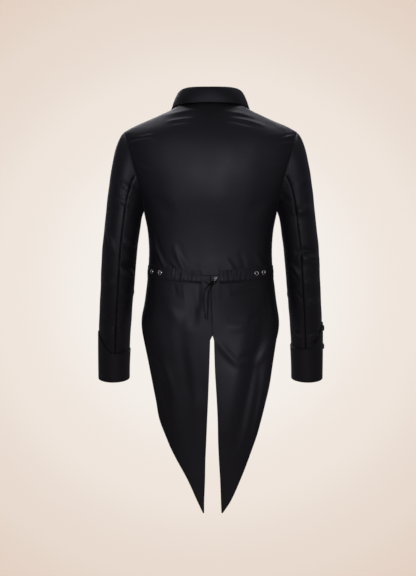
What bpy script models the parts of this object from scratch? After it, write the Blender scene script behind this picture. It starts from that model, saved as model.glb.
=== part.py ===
"""A black tailcoat, hollow and filled out as worn, its back waist gathered and tied with a thin cord.

Metres. +X is the wearer's left, -Y the front, and z is 0 where the shoulder seams meet the neck.
"""

from collections import namedtuple
from math import acos, asin, copysign, cos, degrees, exp, pi, radians, sin

import bmesh
import bpy
from mathutils import Matrix, Vector

# Cloth and the gaps between its pieces
CLOTH = 0.002
SEAM = 0.0003
UNDER = 0.0006
UNDER_LAPEL = 0.0014

# Heights of the bodice
WAIST_Z = -0.436
ARMPIT_Z = -0.272
WAIST_DIP = 0.055
DIP_ENDS = 0.68

# How far along the levels the cloth rounds off the turn at the shoulder tip
SOFTEN = 0.24
SOFTEN_ENDS = 0.4

# Squareness of the torso's half rings, back and front
BACK_SQUARE = 2.25
FRONT_SQUARE = 2.1

# The bodice by level: 0 waist, 1 armpit, 2 shoulder tip, 3 neck
Torso = namedtuple("Torso", "level half_width back_y back_z front_y front_z")
TORSO = (
    Torso(0.00, 0.1590, 0.1045, -0.4360, -0.112, -0.436),
    Torso(0.26, 0.1563, 0.099, -0.3934, -0.110, -0.393),
    Torso(0.43, 0.1560, 0.098, -0.3655, -0.110, -0.366),
    Torso(0.72, 0.1600, 0.104, -0.3179, -0.114, -0.318),
    Torso(1.00, 0.1690, 0.112, -0.2720, -0.118, -0.272),
    Torso(1.25, 0.1755, 0.118, -0.2380, -0.119, -0.245),
    Torso(1.50, 0.1915, 0.121, -0.1850, -0.116, -0.200),
    Torso(1.75, 0.2100, 0.1155, -0.1350, -0.107, -0.155),
    Torso(2.00, 0.2197, 0.105, -0.0950, -0.097, -0.120),
    Torso(2.50, 0.1470, 0.082, -0.0430, -0.072, -0.070),
    Torso(3.00, 0.0750, 0.055, 0.0040, -0.050, -0.030),
)

# The armhole: a loop round the shoulder joint
ARMHOLE_Z = -0.1722
ARMHOLE_RISE = 0.0998
ARMHOLE_BACK = 0.060
ARMHOLE_FRONT = 0.055
Armhole = namedtuple("Armhole", "z x")
ARMHOLE = (
    Armhole(-0.2720, 0.1690),
    Armhole(-0.2360, 0.1745),
    Armhole(-0.1930, 0.1840),
    Armhole(-0.1626, 0.1930),
    Armhole(-0.1245, 0.2035),
    Armhole(-0.1040, 0.2100),
    Armhole(-0.0724, 0.2197),
)
Shoulder = namedtuple("Shoulder", "x z")
SHOULDER = (
    Shoulder(0.0750, 0.0000),
    Shoulder(0.1067, -0.0195),
    Shoulder(0.1537, -0.0406),
    Shoulder(0.2000, -0.0612),
    Shoulder(0.2197, -0.0724),
)

# The roll line, where each front turns back, and the lapel's width as a share of the front's row
RollLine = namedtuple("RollLine", "level x")
ROLL_LINE = (
    RollLine(0.0, 0.040),
    RollLine(0.6, 0.052),
    RollLine(1.2, 0.062),
    RollLine(2.0, 0.070),
    RollLine(3.0, 0.070),
)
Lapel = namedtuple("Lapel", "rise width")
LAPEL = (
    Lapel(0.00, 0.03),
    Lapel(0.25, 0.15),
    Lapel(0.50, 0.25),
    Lapel(0.75, 0.31),
    Lapel(1.00, 0.36),
)
GORGE_LEVEL = 2.50
GORGE_SLOPE = 0.06
LAPEL_ROLL = 0.004

# The tails: half rings that hang straight below the hips, cut by an inner and an outer edge
Skirt = namedtuple("Skirt", "z half_width back_y front_y")
SKIRT = (
    Skirt(-1.045, 0.150, 0.109, -0.110),
    Skirt(-0.900, 0.158, 0.115, -0.115),
    Skirt(-0.745, 0.1665, 0.1215, -0.118),
    Skirt(-0.670, 0.1705, 0.125, -0.118),
    Skirt(-0.596, 0.1745, 0.1265, -0.118),
    Skirt(-0.549, 0.1745, 0.1245, -0.117),
    Skirt(-0.498, 0.1664, 0.1165, -0.114),
    Skirt(-0.436, 0.1590, 0.1045, -0.112),
)
SWEEP_START = 118.0
VENT_Z = -0.584
Tail = namedtuple("Tail", "z outer_left inner_left outer_right inner_right")
TAIL = (
    Tail(-1.0235, 0.0188, 0.0162, 0.0304, 0.0272),
    Tail(-0.9923, 0.0336, 0.0160, 0.0511, 0.0259),
    Tail(-0.9428, 0.0561, 0.0140, 0.0734, 0.0240),
    Tail(-0.8933, 0.0834, 0.0130, 0.0934, 0.0210),
    Tail(-0.8437, 0.1083, 0.0108, 0.1107, 0.0188),
    Tail(-0.7942, 0.1282, 0.0087, 0.1257, 0.0178),
    Tail(-0.7447, 0.1382, 0.0065, 0.1382, 0.0155),
    Tail(-0.6704, 0.1531, 0.0037, 0.1531, 0.0111),
    Tail(-0.5960, 0.1681, 0.0013, 0.1655, 0.0087),
)
SEAM_DRIFT = -0.0049

# Soft folds of the tails: a line from top to bottom by turn and height, its half width and its height
Fold = namedtuple("Fold", "side turn_top z_top turn_low z_low spread height")
FOLDS = (
    Fold(1, 70, -0.50, 38, -0.86, 0.020, -0.0050),
    Fold(1, 52, -0.50, 22, -0.90, 0.024, 0.0040),
    Fold(1, 25, -0.52, 12, -0.80, 0.020, -0.0030),
    Fold(-1, 66, -0.50, 30, -0.90, 0.020, 0.0055),
    Fold(-1, 50, -0.50, 20, -0.88, 0.018, -0.0055),
    Fold(-1, 30, -0.50, 12, -0.84, 0.022, 0.0035),
)

# The sleeve: rings down the arm. Pitch tips a ring so that its back is lower, in degrees
Arm = namedtuple("Arm", "along x y z half_width half_depth pitch")
ARM = (
    Arm(0.00, 0.2210, 0.006, -0.295, 0.0457, 0.070, 0.0),
    Arm(0.19, 0.2299, 0.008, -0.371, 0.0445, 0.066, 1.0),
    Arm(0.38, 0.2350, 0.005, -0.447, 0.0430, 0.061, 5.0),
    Arm(0.51, 0.2388, -0.002, -0.498, 0.0419, 0.057, 9.0),
    Arm(0.63, 0.2424, -0.012, -0.549, 0.0412, 0.0535, 11.5),
    Arm(0.76, 0.2448, -0.023, -0.600, 0.0396, 0.0505, 12.0),
    Arm(0.90, 0.2466, -0.035, -0.657, 0.0382, 0.0490, 12.0),
    Arm(1.00, 0.2474, -0.043, -0.697, 0.0376, 0.0480, 12.0),
)
CAP_SHARE = 0.36

# How the sleeve's cap leaves the armhole over the shoulder and under the arm, and how it ends
CAP_LEAVES = Vector((0.75, 0.12, -0.66))
CAP_LEAVES_UNDER = Vector((0.25, 0.12, -0.96))
CAP_ENDS = Vector((0.10, 0.01, -0.995))
CAP_ROUND = 0.5

# The sleeve's seams, the turned cuff and its buttons
HIND_SEAM = 97.0
FORE_SEAM = 235.0
CUFF_TOP = 0.866
CUFF_POINT = 0.095
BUTTONS_ALONG = (0.798, 0.874)
BUTTON_TURN = {1: -34.0, -1: -7.0}
BUTTON_RADIUS = 0.0075
BUTTON_HEIGHT = 0.0032
BUTTON_SEAT = CLOTH + 0.0008

# The collar. A back row is set by its turn round the neck seam, a front row by its level on the front
CollarBack = namedtuple("CollarBack", "turn stand lean reach drop")
COLLAR_BACK = (
    CollarBack(0.0, 0.0332, 0.0015, 0.0100, -0.0072),
    CollarBack(0.5, 0.0348, 0.0020, 0.0152, -0.0066),
    CollarBack(1.0, 0.0300, 0.0042, 0.0198, -0.0084),
)
CollarFront = namedtuple("CollarFront", "level stand lean edge_level edge_turn clear")
COLLAR_FRONT = (
    CollarFront(2.99, 0.0250, 0.0030, 2.74, 0.72, 0.0060),
    CollarFront(2.76, 0.0130, 0.0045, 2.60, 0.62, 0.0048),
    CollarFront(2.52, 0.0060, 0.0040, 2.495, 0.52, 0.0042),
)
FOLD_RADIUS = 0.004
COLLAR_SEAT_IN = 0.0012
COLLAR_SEAT_UP = 0.0008
COLLAR_SEAT_FRONT = 0.0010
FALL_BULGE = 0.0020

# The waist strips, their gathers and what ties them
STRIP_HEIGHT = 0.031
STRIP_SIDE_Z = -0.4255
STRIP_MIDDLE_Z = -0.4430
STRIP_LEVEL_X = 0.15
STRIP_SAG = 1.3
STRIP_START_X = 0.0165
STRIP_START_TURN = 6.5
STRIP_END_TURN = 87.0
GATHER_DEPTH = 0.0024
GATHER_END_X = 0.120
GATHER_FADE = 0.6
GATHERS = 8
EYELETS_X = {1: (0.1245, 0.1445), -1: (0.1130, 0.1305)}
EYELET_RADIUS = 0.0060
EYELET_HOLE = 0.0025
EYELET_HEIGHT = 0.0012
TIE_X = -0.0035
TIE_Z = -0.4565
CORD_RADIUS = 0.0014
KNOT_RADIUS = 0.0050
RING_RADIUS = 0.0078
RING_WIRE = 0.0011
RING_WAY = (-0.58, 0.0, 0.815)
RING_LEAN = 0.35

# The cord's routes over the back, by x and z: between the strips, then each free end below the knot
Route = namedtuple("Route", "x z")
TIE_CORD = (
    Route(0.0161, -0.4490),
    Route(0.0075, -0.4548),
    Route(-0.0035, -0.4577),
    Route(-0.0105, -0.4555),
    Route(-0.0161, -0.4500),
)
TIE_END_LEFT = (
    Route(0.0125, -0.4700),
    Route(0.0166, -0.4895),
    Route(0.0158, -0.5170),
    Route(0.0128, -0.5420),
)
TIE_END_RIGHT = (
    Route(0.0030, -0.4760),
    Route(0.0064, -0.4930),
    Route(0.0068, -0.5190),
    Route(0.0082, -0.5460),
)
TIE_END_TURN = {1: 58.0, -1: -4.0}

# Faces across each piece
BACK_COLUMNS = 16
FRONT_COLUMNS = 8
LAPEL_COLUMNS = 5
SIDE_ROWS = 5
ARMHOLE_ROWS = (4, 5, 3, 6)
SHOULDER_ROWS = 4
CAP_ROWS = 6
ARM_ROWS = 8
LAPEL_ROWS = 15
TAIL_COLUMNS = 8
TAIL_SEAM_ROWS = 5
TAIL_FREE_ROWS = 13
STRIP_COLUMNS = 44
STRIP_ROWS = 3

# Colour, roughness and metallic value of each finish
FINISHES = {
    "cloth": ((0.012, 0.011, 0.014), 0.55, 0.0),
    "metal": ((0.62, 0.61, 0.60), 0.25, 1.0),
    "button": ((0.010, 0.010, 0.012), 0.30, 0.0),
}


def clear_scene():
    for thing in list(bpy.data.objects):
        bpy.data.objects.remove(thing, do_unlink=True)


def finish(name, kind):
    """A material of its own for each piece."""
    colour, roughness, metallic = FINISHES[kind]
    material = bpy.data.materials.new(name)
    material.use_nodes = True
    shader = material.node_tree.nodes["Principled BSDF"]
    shader.inputs["Base Color"].default_value = (*colour, 1.0)
    shader.inputs["Roughness"].default_value = roughness
    shader.inputs["Metallic"].default_value = metallic
    return material


def hermite(start, start_slope, end, end_slope, t):
    return (
        start * (2 * t**3 - 3 * t**2 + 1)
        + start_slope * (t**3 - 2 * t**2 + t)
        + end * (3 * t**2 - 2 * t**3)
        + end_slope * (t**3 - t**2)
    )


def smooth(rows, at, column):
    """A table's column at a place between its rows, which are in the order of their first column."""
    keys = [row[0] for row in rows]
    values = [getattr(row, column) for row in rows]
    last = len(keys) - 1
    slopes = []
    for i in range(last + 1):
        low = max(i - 1, 0)
        high = min(i + 1, last)
        slopes.append((values[high] - values[low]) / (keys[high] - keys[low]))
    i = 0
    while i < last - 1 and at > keys[i + 1]:
        i += 1
    span = keys[i + 1] - keys[i]
    t = min(max((at - keys[i]) / span, 0.0), 1.0)
    return hermite(values[i], slopes[i] * span, values[i + 1], slopes[i + 1] * span, t)


def ease(t):
    t = min(max(t, 0.0), 1.0)
    return t * t * (3 - 2 * t)


def spread(start, end, count):
    return [start + (end - start) * i / count for i in range(count + 1)]


def power(value, exponent):
    return copysign(abs(value) ** exponent, value)


def armhole(turn):
    """A point of the left armhole seam: 0 at the shoulder tip, 90 at the back, 180 under the arm."""
    z = ARMHOLE_Z + ARMHOLE_RISE * cos(radians(turn))
    depth = ARMHOLE_BACK if sin(radians(turn)) > 0 else ARMHOLE_FRONT
    return Vector((smooth(ARMHOLE, z, "x"), depth * sin(radians(turn)), z))


def side_edge(level, front):
    """The outer edge of a back or a front: side seam, armhole, then shoulder seam."""
    if level <= 1:
        z = WAIST_Z + (ARMPIT_Z - WAIST_Z) * level
        return Vector((smooth(TORSO, level, "half_width"), 0.0, z))
    if level <= 2:
        turn = 180.0 * (2 - level)
        return armhole(-turn if front else turn)
    x = SHOULDER[-1].x + (SHOULDER[0].x - SHOULDER[-1].x) * (level - 2)
    return Vector((x, 0.0, smooth(SHOULDER, x, "z")))


def torso(t, level, front):
    """The bodice's outside: t runs from the centre line (0) to the outer edge (1), either way."""
    ends = min(level / SOFTEN_ENDS, (3 - level) / SOFTEN_ENDS, 1.0)
    reach = SOFTEN * (1 - t**4) * max(ends, 0.0)
    point = torso_row(t, level, front)
    if reach <= 0:
        return point
    beside = torso_row(t, level - reach, front) + torso_row(t, level + reach, front)
    return (point * 2 + beside) / 4


def torso_row(t, level, front):
    """A point of one row across the bodice, before its turns are softened."""
    edge = side_edge(level, front)
    square = FRONT_SQUARE if front else BACK_SQUARE
    middle_y = smooth(TORSO, level, "front_y" if front else "back_y")
    middle_z = smooth(TORSO, level, "front_z" if front else "back_z")
    end = acos(abs(edge.y / middle_y) ** (square / 2))
    turn = end * abs(t)
    x = edge.x * (sin(turn) / sin(end)) ** (2 / square)
    y = middle_y * cos(turn) ** (2 / square)
    z = middle_z + (edge.z - middle_z) * ease(abs(t))
    if front and level < 1:
        z -= WAIST_DIP * (1 - level) ** 2 * max(0.0, 1 - abs(t) / DIP_ENDS) ** 2
    return Vector((copysign(x, t) if t else 0.0, y, z))


def roll_start(level):
    """Where the roll line crosses a front's row."""
    edge = side_edge(level, True)
    end = acos(abs(edge.y / smooth(TORSO, level, "front_y")) ** (FRONT_SQUARE / 2))
    share = smooth(ROLL_LINE, level, "x") / edge.x
    return asin(sin(end) * share ** (FRONT_SQUARE / 2)) / end


def fold_height(side, turn, z):
    """How far the tails' soft folds lift or sink the cloth."""
    height = 0.0
    for fold in FOLDS:
        if fold.side != side:
            continue
        along = (z - fold.z_top) / (fold.z_low - fold.z_top)
        if not 0 < along < 1:
            continue
        middle = fold.turn_top + (fold.turn_low - fold.turn_top) * along
        away = radians(turn - middle) * smooth(SKIRT, z, "half_width")
        height += fold.height * sin(pi * along) * exp(-((away / fold.spread) ** 2))
    return height


def skirt(turn, z, side=1):
    """The tails' outside, by the turn from the centre back in degrees."""
    angle = radians(turn)
    wide = smooth(SKIRT, z, "half_width")
    back_y = smooth(SKIRT, z, "back_y")
    front_y = smooth(SKIRT, z, "front_y")
    x = wide * power(sin(angle), 2 / BACK_SQUARE)
    if turn <= 90:
        y = back_y * cos(angle) ** (2 / BACK_SQUARE)
    else:
        y = front_y * (-cos(angle)) ** (2 / FRONT_SQUARE)
    lift = fold_height(side, abs(turn), z)
    away = Vector((x / wide**2, y / back_y**2, 0)).normalized()
    return Vector((x, y, z)) + away * lift


def turn_at(x, z):
    """The turn at which the tails' ring reaches a given x."""
    share = min(abs(x) / smooth(SKIRT, z, "half_width"), 1.0)
    return copysign(degrees(asin(share ** (BACK_SQUARE / 2))), x)


def tail_edges(side, z):
    """The turns of a tail's inner and outer edges at a height."""
    hand = "left" if side > 0 else "right"
    top = TAIL[-1].z
    if z < top:
        inner = turn_at(smooth(TAIL, z, "inner_" + hand), z)
        return inner, turn_at(smooth(TAIL, z, "outer_" + hand), z)
    end = turn_at(getattr(TAIL[-1], "outer_" + hand), top)
    share = (WAIST_Z - z) / (WAIST_Z - top)
    outer = SWEEP_START + (end - SWEEP_START) * share
    seam_x = side * SEAM_DRIFT * min((WAIST_Z - z) / (WAIST_Z - VENT_Z), 1.0)
    if z < VENT_Z:
        open_share = (VENT_Z - z) / (VENT_Z - top)
        seam_x += (getattr(TAIL[-1], "inner_" + hand) - seam_x) * open_share
    return turn_at(seam_x, z), outer


def ring(turn, along):
    """A ring of the arm, from the bicep (0) to the hand (1)."""
    angle = radians(turn)
    deep = smooth(ARM, along, "half_depth") * sin(angle)
    pitch = radians(smooth(ARM, along, "pitch"))
    return Vector(
        (
            smooth(ARM, along, "x") + smooth(ARM, along, "half_width") * cos(angle),
            smooth(ARM, along, "y") + deep * cos(pitch),
            smooth(ARM, along, "z") - deep * sin(pitch),
        )
    )


def sleeve(turn, along):
    """The left sleeve's outside: 0 at the armhole seam, 1 at the hand."""
    if along >= CAP_SHARE:
        return ring(turn, (along - CAP_SHARE) / (1 - CAP_SHARE))
    angle = radians(turn)
    start = armhole(turn) + Vector((SEAM, 0, 0))
    end = ring(turn, 0.0)
    chord = (end - start).length
    out = CAP_LEAVES.lerp(CAP_LEAVES_UNDER, max(-cos(angle), 0.0) ** 1.5)
    out.y *= sin(angle)
    out.normalize()
    return hermite(start, out * chord * CAP_ROUND, end, CAP_ENDS * chord, along / CAP_SHARE)


def tangents(surface, u, v, limits):
    """The directions of a surface along u and v, kept inside its limits."""
    low_u, high_u, low_v, high_v = limits
    step_u = (high_u - low_u) * 0.002
    step_v = (high_v - low_v) * 0.002
    along_u = surface(min(u + step_u, high_u), v) - surface(max(u - step_u, low_u), v)
    along_v = surface(u, min(v + step_v, high_v)) - surface(u, max(v - step_v, low_v))
    return along_u, along_v


def outward(surface, u, v, limits, sign):
    along_u, along_v = tangents(surface, u, v, limits)
    return along_u.cross(along_v).normalized() * sign


def mirrored(point, side):
    return Vector((point.x * side, point.y, point.z))


def draw_in(outer, inner, edge):
    """Pull one edge of a wall back by half a seam's gap."""
    for grid in (outer, inner):
        if edge in ("first_row", "last_row"):
            here, near = (0, 1) if edge == "first_row" else (-1, -2)
            for i, point in enumerate(grid[here]):
                grid[here][i] = point + (grid[near][i] - point).normalized() * SEAM / 2
        else:
            here, near = (0, 1) if edge == "first_column" else (-1, -2)
            for row in grid:
                row[here] = row[here] + (row[near] - row[here]).normalized() * SEAM / 2


def wall(name, outer, inner, kind="cloth", closed=False):
    """A closed wall between two grids of points of the same size."""
    rows = len(outer)
    columns = len(outer[0])
    points = [point for grid in (outer, inner) for row in grid for point in row]
    back = rows * columns
    faces = []

    def at(row, column):
        return row * columns + column % columns

    across = columns if closed else columns - 1
    for row in range(rows - 1):
        for column in range(across):
            loop = (at(row, column), at(row, column + 1), at(row + 1, column + 1), at(row + 1, column))
            faces.append(loop)
            faces.append(tuple(back + i for i in reversed(loop)))
    for column in range(across):
        for row, order in ((0, 1), (rows - 1, -1)):
            pair = (at(row, column + 1), at(row, column))[::order]
            faces.append((pair[0], pair[1], back + pair[1], back + pair[0]))
    if not closed:
        for row in range(rows - 1):
            for column, order in ((0, 1), (columns - 1, -1)):
                pair = (at(row, column), at(row + 1, column))[::order]
                faces.append((pair[0], pair[1], back + pair[1], back + pair[0]))
    return solid(name, points, faces, kind)


def solid(name, points, faces, kind):
    """An object from points and faces, turned so that its faces point out."""
    mesh = bpy.data.meshes.new(name)
    shape = bmesh.new()
    corners = [shape.verts.new(point) for point in points]
    for face in faces:
        shape.faces.new([corners[i] for i in face])
    bmesh.ops.triangulate(shape, faces=shape.faces)
    if shape.calc_volume(signed=True) < 0:
        bmesh.ops.reverse_faces(shape, faces=shape.faces)
    shape.to_mesh(mesh)
    shape.free()
    mesh.shade_smooth()
    mesh.set_sharp_from_angle(angle=radians(50))
    mesh.materials.append(finish(name, kind))
    thing = bpy.data.objects.new(name, mesh)
    bpy.context.scene.collection.objects.link(thing)
    return thing


def grids(place, us, vs, thick=CLOTH, lift=None):
    """Outer and inner points of a wall. place(u, v) gives the outside and the way out."""
    outer = []
    inner = []
    for v in vs:
        outer_row = []
        inner_row = []
        for u in us:
            point, out = place(u, v)
            raised = lift(u, v) if lift else 0.0
            outer_row.append(point + out * raised)
            inner_row.append(point + out * (raised - thick))
        outer.append(outer_row)
        inner.append(inner_row)
    return outer, inner


def torso_place(front, side=1):
    """Points and outward directions of the back, or of one front."""

    def place(t, level):
        sign = 1 if front else -1
        limits = (-1.0, 1.0, 0.0, 3.0)
        out = outward(lambda u, v: torso(u, v, front), t, level, limits, sign)
        return mirrored(torso(t, level, front), side), mirrored(out, side)

    return place


def torso_levels(front):
    """The levels of a panel's rows, which meet the sleeve's points at the armhole."""
    under, over = (ARMHOLE_ROWS[2], ARMHOLE_ROWS[3]) if front else ARMHOLE_ROWS[:2]
    seam_level = 2 - (360 - FORE_SEAM) / 180 if front else 2 - HIND_SEAM / 180
    rows = spread(0.0, 1.0, SIDE_ROWS) + spread(1.0, seam_level, under)[1:]
    return rows + spread(seam_level, 2.0, over)[1:] + spread(2.0, 3.0, SHOULDER_ROWS)[1:]


def make_back():
    outer, inner = grids(torso_place(False), spread(-1.0, 1.0, BACK_COLUMNS), torso_levels(False))
    for edge in ("first_row", "first_column", "last_column"):
        draw_in(outer, inner, edge)
    wall("back", outer, inner)


def make_front(side, name):
    def place(u, level):
        start = roll_start(level)
        return torso_place(True, side)(start + (1 - start) * u, level)

    outer, inner = grids(place, spread(0.0, 1.0, FRONT_COLUMNS), torso_levels(True))
    draw_in(outer, inner, "first_row")
    draw_in(outer, inner, "last_column")
    wall(name, outer, inner)


def make_lapel(side, name):
    def place(u, rise):
        level = rise * (GORGE_LEVEL - 0.012 - GORGE_SLOPE * u)
        start = roll_start(level)
        return torso_place(True, side)(start + u * smooth(LAPEL, rise, "width"), level)

    def lift(u, rise):
        return CLOTH + UNDER_LAPEL + LAPEL_ROLL * sin(pi * u) * ease(rise * 4)

    wall(name, *grids(place, spread(0.0, 1.0, LAPEL_COLUMNS), spread(0.0, 1.0, LAPEL_ROWS), lift=lift))


def sleeve_out(turn, along):
    limits = (-360.0, 720.0, 0.0, 1.0)
    return outward(sleeve, turn, along, limits, -1)


def sleeve_place(side):
    def place(turn, along):
        out = sleeve_out(turn, along)
        if along == 0.0:
            angle = radians(turn)
            upper = max(cos(angle), 0.0)
            lower = max(-cos(angle), 0.0)
            out = Vector((-lower, sin(angle), upper)).normalized()
        return mirrored(sleeve(turn, along), side), mirrored(out, side)

    return place


def sleeve_turns():
    """The turns of the top sleeve's points and of the under sleeve's."""
    back_under, back_over, front_under, front_over = ARMHOLE_ROWS
    top = spread(FORE_SEAM - 360, 0.0, front_over) + spread(0.0, HIND_SEAM, back_over)[1:]
    under = spread(HIND_SEAM, 180.0, back_under) + spread(180.0, FORE_SEAM, front_under)[1:]
    return top, under


def make_sleeve(side, hand):
    rows = spread(0.0, CAP_SHARE, CAP_ROWS) + spread(CAP_SHARE, 1.0, ARM_ROWS)[1:]
    for name, turns in zip(("top_sleeve_", "under_sleeve_"), sleeve_turns()):
        outer, inner = grids(sleeve_place(side), turns, rows)
        draw_in(outer, inner, "first_column")
        draw_in(outer, inner, "last_column")
        wall(name + hand, outer, inner)


def make_cuff(side, hand):
    """A band round the end of the sleeve, its top edge rising to a point on the outer side."""

    def place(turn, down):
        top = CUFF_TOP - CUFF_POINT * max(cos(radians(turn)), 0.0) ** 2
        return sleeve_place(side)(turn, top + (1 - top) * down)

    top_turns, under_turns = sleeve_turns()
    turns = top_turns + under_turns[1:-1]
    outer, inner = grids(place, turns, spread(0.0, 1.0, 3), lift=lambda u, v: CLOTH + UNDER)
    wall("cuff_" + hand, outer, inner, closed=True)


def make_tail(side, hand):
    seam_rows = spread(WAIST_Z, VENT_Z, TAIL_SEAM_ROWS)
    free_rows = spread(TAIL[-1].z, TAIL[0].z, TAIL_FREE_ROWS)

    def place(u, z):
        inner, outer = tail_edges(side, z)
        turn = inner + (outer - inner) * u
        limits = (-180.0, 180.0, TAIL[0].z, WAIST_Z)
        out = outward(lambda a, b: skirt(a, b, side), turn, z, limits, -1)
        return mirrored(skirt(turn, z, side), side), mirrored(out, side)

    outer, inner = grids(place, spread(0.0, 1.0, TAIL_COLUMNS), seam_rows + free_rows)
    draw_in(outer, inner, "first_row")
    draw_in(outer, inner, "first_column")
    wall("tail_" + hand, outer, inner)


def body_back(x, z):
    """A point of the coat's back at a height round the waist, and the way out of it."""

    def surface(turn, height):
        if height >= WAIST_Z:
            return torso(turn / 90, (height - WAIST_Z) / (ARMPIT_Z - WAIST_Z), False)
        return skirt(turn, height)

    wide = surface(90.0, z).x
    turn = copysign(degrees(asin(min(abs(x) / wide, 1.0) ** (BACK_SQUARE / 2))), x)
    out = outward(surface, turn, z, (-90.0, 90.0, -0.6, -0.3), -1)
    return surface(turn, z), out


def strip_middle(x):
    """The height of the waist strips' middle line, which sags to the centre back."""
    share = min(abs(x) / STRIP_LEVEL_X, 1.0)
    return STRIP_MIDDLE_Z + (STRIP_SIDE_Z - STRIP_MIDDLE_Z) * share**STRIP_SAG


def gather(x, up):
    """Waves where the cord draws a strip in, deepest by its free end."""
    share = (abs(x) - STRIP_START_X) / (GATHER_END_X - STRIP_START_X)
    if not 0 <= share <= 1:
        return 0.0
    wave = 0.5 + 0.5 * cos(2 * pi * GATHERS * share)
    return GATHER_DEPTH * wave * (1 - share) ** GATHER_FADE * (1 - 0.5 * abs(2 * up - 1))


def strip_x(turn):
    """How far out a turn from the centre back lies, on the waist's own ring."""
    return TORSO[0].half_width * sin(radians(turn)) ** (2 / BACK_SQUARE)


def make_strip(side, hand):
    def place(turn, up):
        x = strip_x(turn)
        z = strip_middle(x) + STRIP_HEIGHT * (up - 0.5)
        return body_back(side * x, z)

    def lift(turn, up):
        return CLOTH + UNDER + gather(strip_x(turn), up)

    turns = spread(STRIP_START_TURN, STRIP_END_TURN, STRIP_COLUMNS)
    outer, inner = grids(place, turns, spread(0.0, 1.0, STRIP_ROWS), lift=lift)
    wall("belt_" + hand, outer, inner)


def frame_at(point, out):
    """A placement with z along the way out, its x level."""
    level = Vector((0, 0, 1)).cross(out).normalized()
    matrix = Matrix((level, out.cross(level), out)).transposed().to_4x4()
    return Matrix.Translation(point) @ matrix


def turned(name, profile, sides, placement, kind, hole):
    """A turned piece: a profile of radius and height, spun round its axis."""
    points = []
    faces = []
    for radius, height in profile:
        for i in range(sides):
            angle = 2 * pi * i / sides
            points.append(placement @ Vector((radius * cos(angle), radius * sin(angle), height)))
    count = len(profile)
    for row in range(count if hole else count - 1):
        low = row * sides
        high = (row + 1) % count * sides
        for i in range(sides):
            faces.append((low + i, low + (i + 1) % sides, high + (i + 1) % sides, high + i))
    if not hole:
        faces.append(tuple(reversed(range(sides))))
        faces.append(tuple(range((count - 1) * sides, count * sides)))
    return solid(name, points, faces, kind)


def make_eyelets():
    profile = (
        (EYELET_HOLE, 0.0),
        (EYELET_RADIUS, 0.0),
        (EYELET_RADIUS * 0.86, EYELET_HEIGHT),
        (EYELET_HOLE * 1.25, EYELET_HEIGHT),
    )
    number = 0
    for side in (1, -1):
        for x in EYELETS_X[side]:
            number += 1
            point, out = body_back(side * x, strip_middle(x))
            seat = point + out * (CLOTH + 2 * UNDER)
            turned(f"eyelet_{number}", profile, 16, frame_at(seat, out), "metal", True)


def tie_point(x, z, lift):
    point, out = body_back(x, z)
    return point + out * lift


def make_tie():
    """The cord between the strips, its knot, the metal ring by it and the cord's two free ends."""
    make_cord("tie_cord", [tie_point(x, z, UNDER + CORD_RADIUS) for x, z in TIE_CORD])
    knot = tie_point(TIE_X, TIE_Z, 2 * CORD_RADIUS + 2 * UNDER + KNOT_RADIUS)
    profile = []
    for i in range(1, 8):
        angle = pi * i / 8
        profile.append((KNOT_RADIUS * sin(angle), -KNOT_RADIUS * cos(angle)))
    turned("tie_knot", profile, 12, Matrix.Translation(knot), "cloth", False)
    for side, hand, route in ((1, "left", TIE_END_LEFT), (-1, "right", TIE_END_RIGHT)):
        turn = radians(TIE_END_TURN[side])
        start = knot + Vector((sin(turn), 0, -cos(turn))) * (KNOT_RADIUS + 2 * SEAM)
        below = [tie_point(x, z, UNDER + CORD_RADIUS) for x, z in route]
        make_cord("tie_end_" + hand, [start] + below)
    along = Vector(RING_WAY).normalized()
    seat = knot + along * (KNOT_RADIUS + SEAM + RING_RADIUS + RING_WIRE)
    across = Vector((0, 1, 0)) + along.cross(Vector((0, 1, 0))) * RING_LEAN
    across.normalize()
    axis = along.cross(across)
    placement = Matrix((along, across, axis)).transposed().to_4x4()
    profile = []
    for i in range(6):
        angle = 2 * pi * i / 6
        profile.append((RING_RADIUS + RING_WIRE * cos(angle), RING_WIRE * sin(angle)))
    turned("eyelet_centre", profile, 16, Matrix.Translation(seat) @ placement, "metal", True)


def make_cord(name, route):
    line = bpy.data.curves.new(name, "CURVE")
    line.dimensions = "3D"
    line.bevel_depth = CORD_RADIUS
    line.bevel_resolution = 2
    line.use_fill_caps = True
    places = smooth_line(route, 4)
    spline = line.splines.new("POLY")
    spline.points.add(len(places) - 1)
    for spline_point, place in zip(spline.points, places):
        spline_point.co = (*place, 1.0)
    line.materials.append(finish(name, "cloth"))
    thing = bpy.data.objects.new(name, line)
    bpy.context.scene.collection.objects.link(thing)


def smooth_line(points, steps):
    """Points on a smooth curve through a route's own points."""
    last = len(points) - 1
    slopes = [(points[min(i + 1, last)] - points[max(i - 1, 0)]) / 2 for i in range(last + 1)]
    places = []
    for i in range(last):
        for step in range(steps):
            places.append(hermite(points[i], slopes[i], points[i + 1], slopes[i + 1], step / steps))
    places.append(points[-1])
    return places


def make_buttons():
    profile = (
        (BUTTON_RADIUS * 0.8, 0.0),
        (BUTTON_RADIUS, BUTTON_HEIGHT * 0.4),
        (BUTTON_RADIUS * 0.92, BUTTON_HEIGHT * 0.9),
        (BUTTON_RADIUS * 0.6, BUTTON_HEIGHT),
    )
    for side, hand in ((1, "left"), (-1, "right")):
        for number, along in enumerate(BUTTONS_ALONG, 1):
            point, out = sleeve_place(side)(BUTTON_TURN[side], along)
            seat = point + out * BUTTON_SEAT
            turned(f"button_{hand}_{number}", profile, 12, frame_at(seat, out), "button", False)


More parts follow.
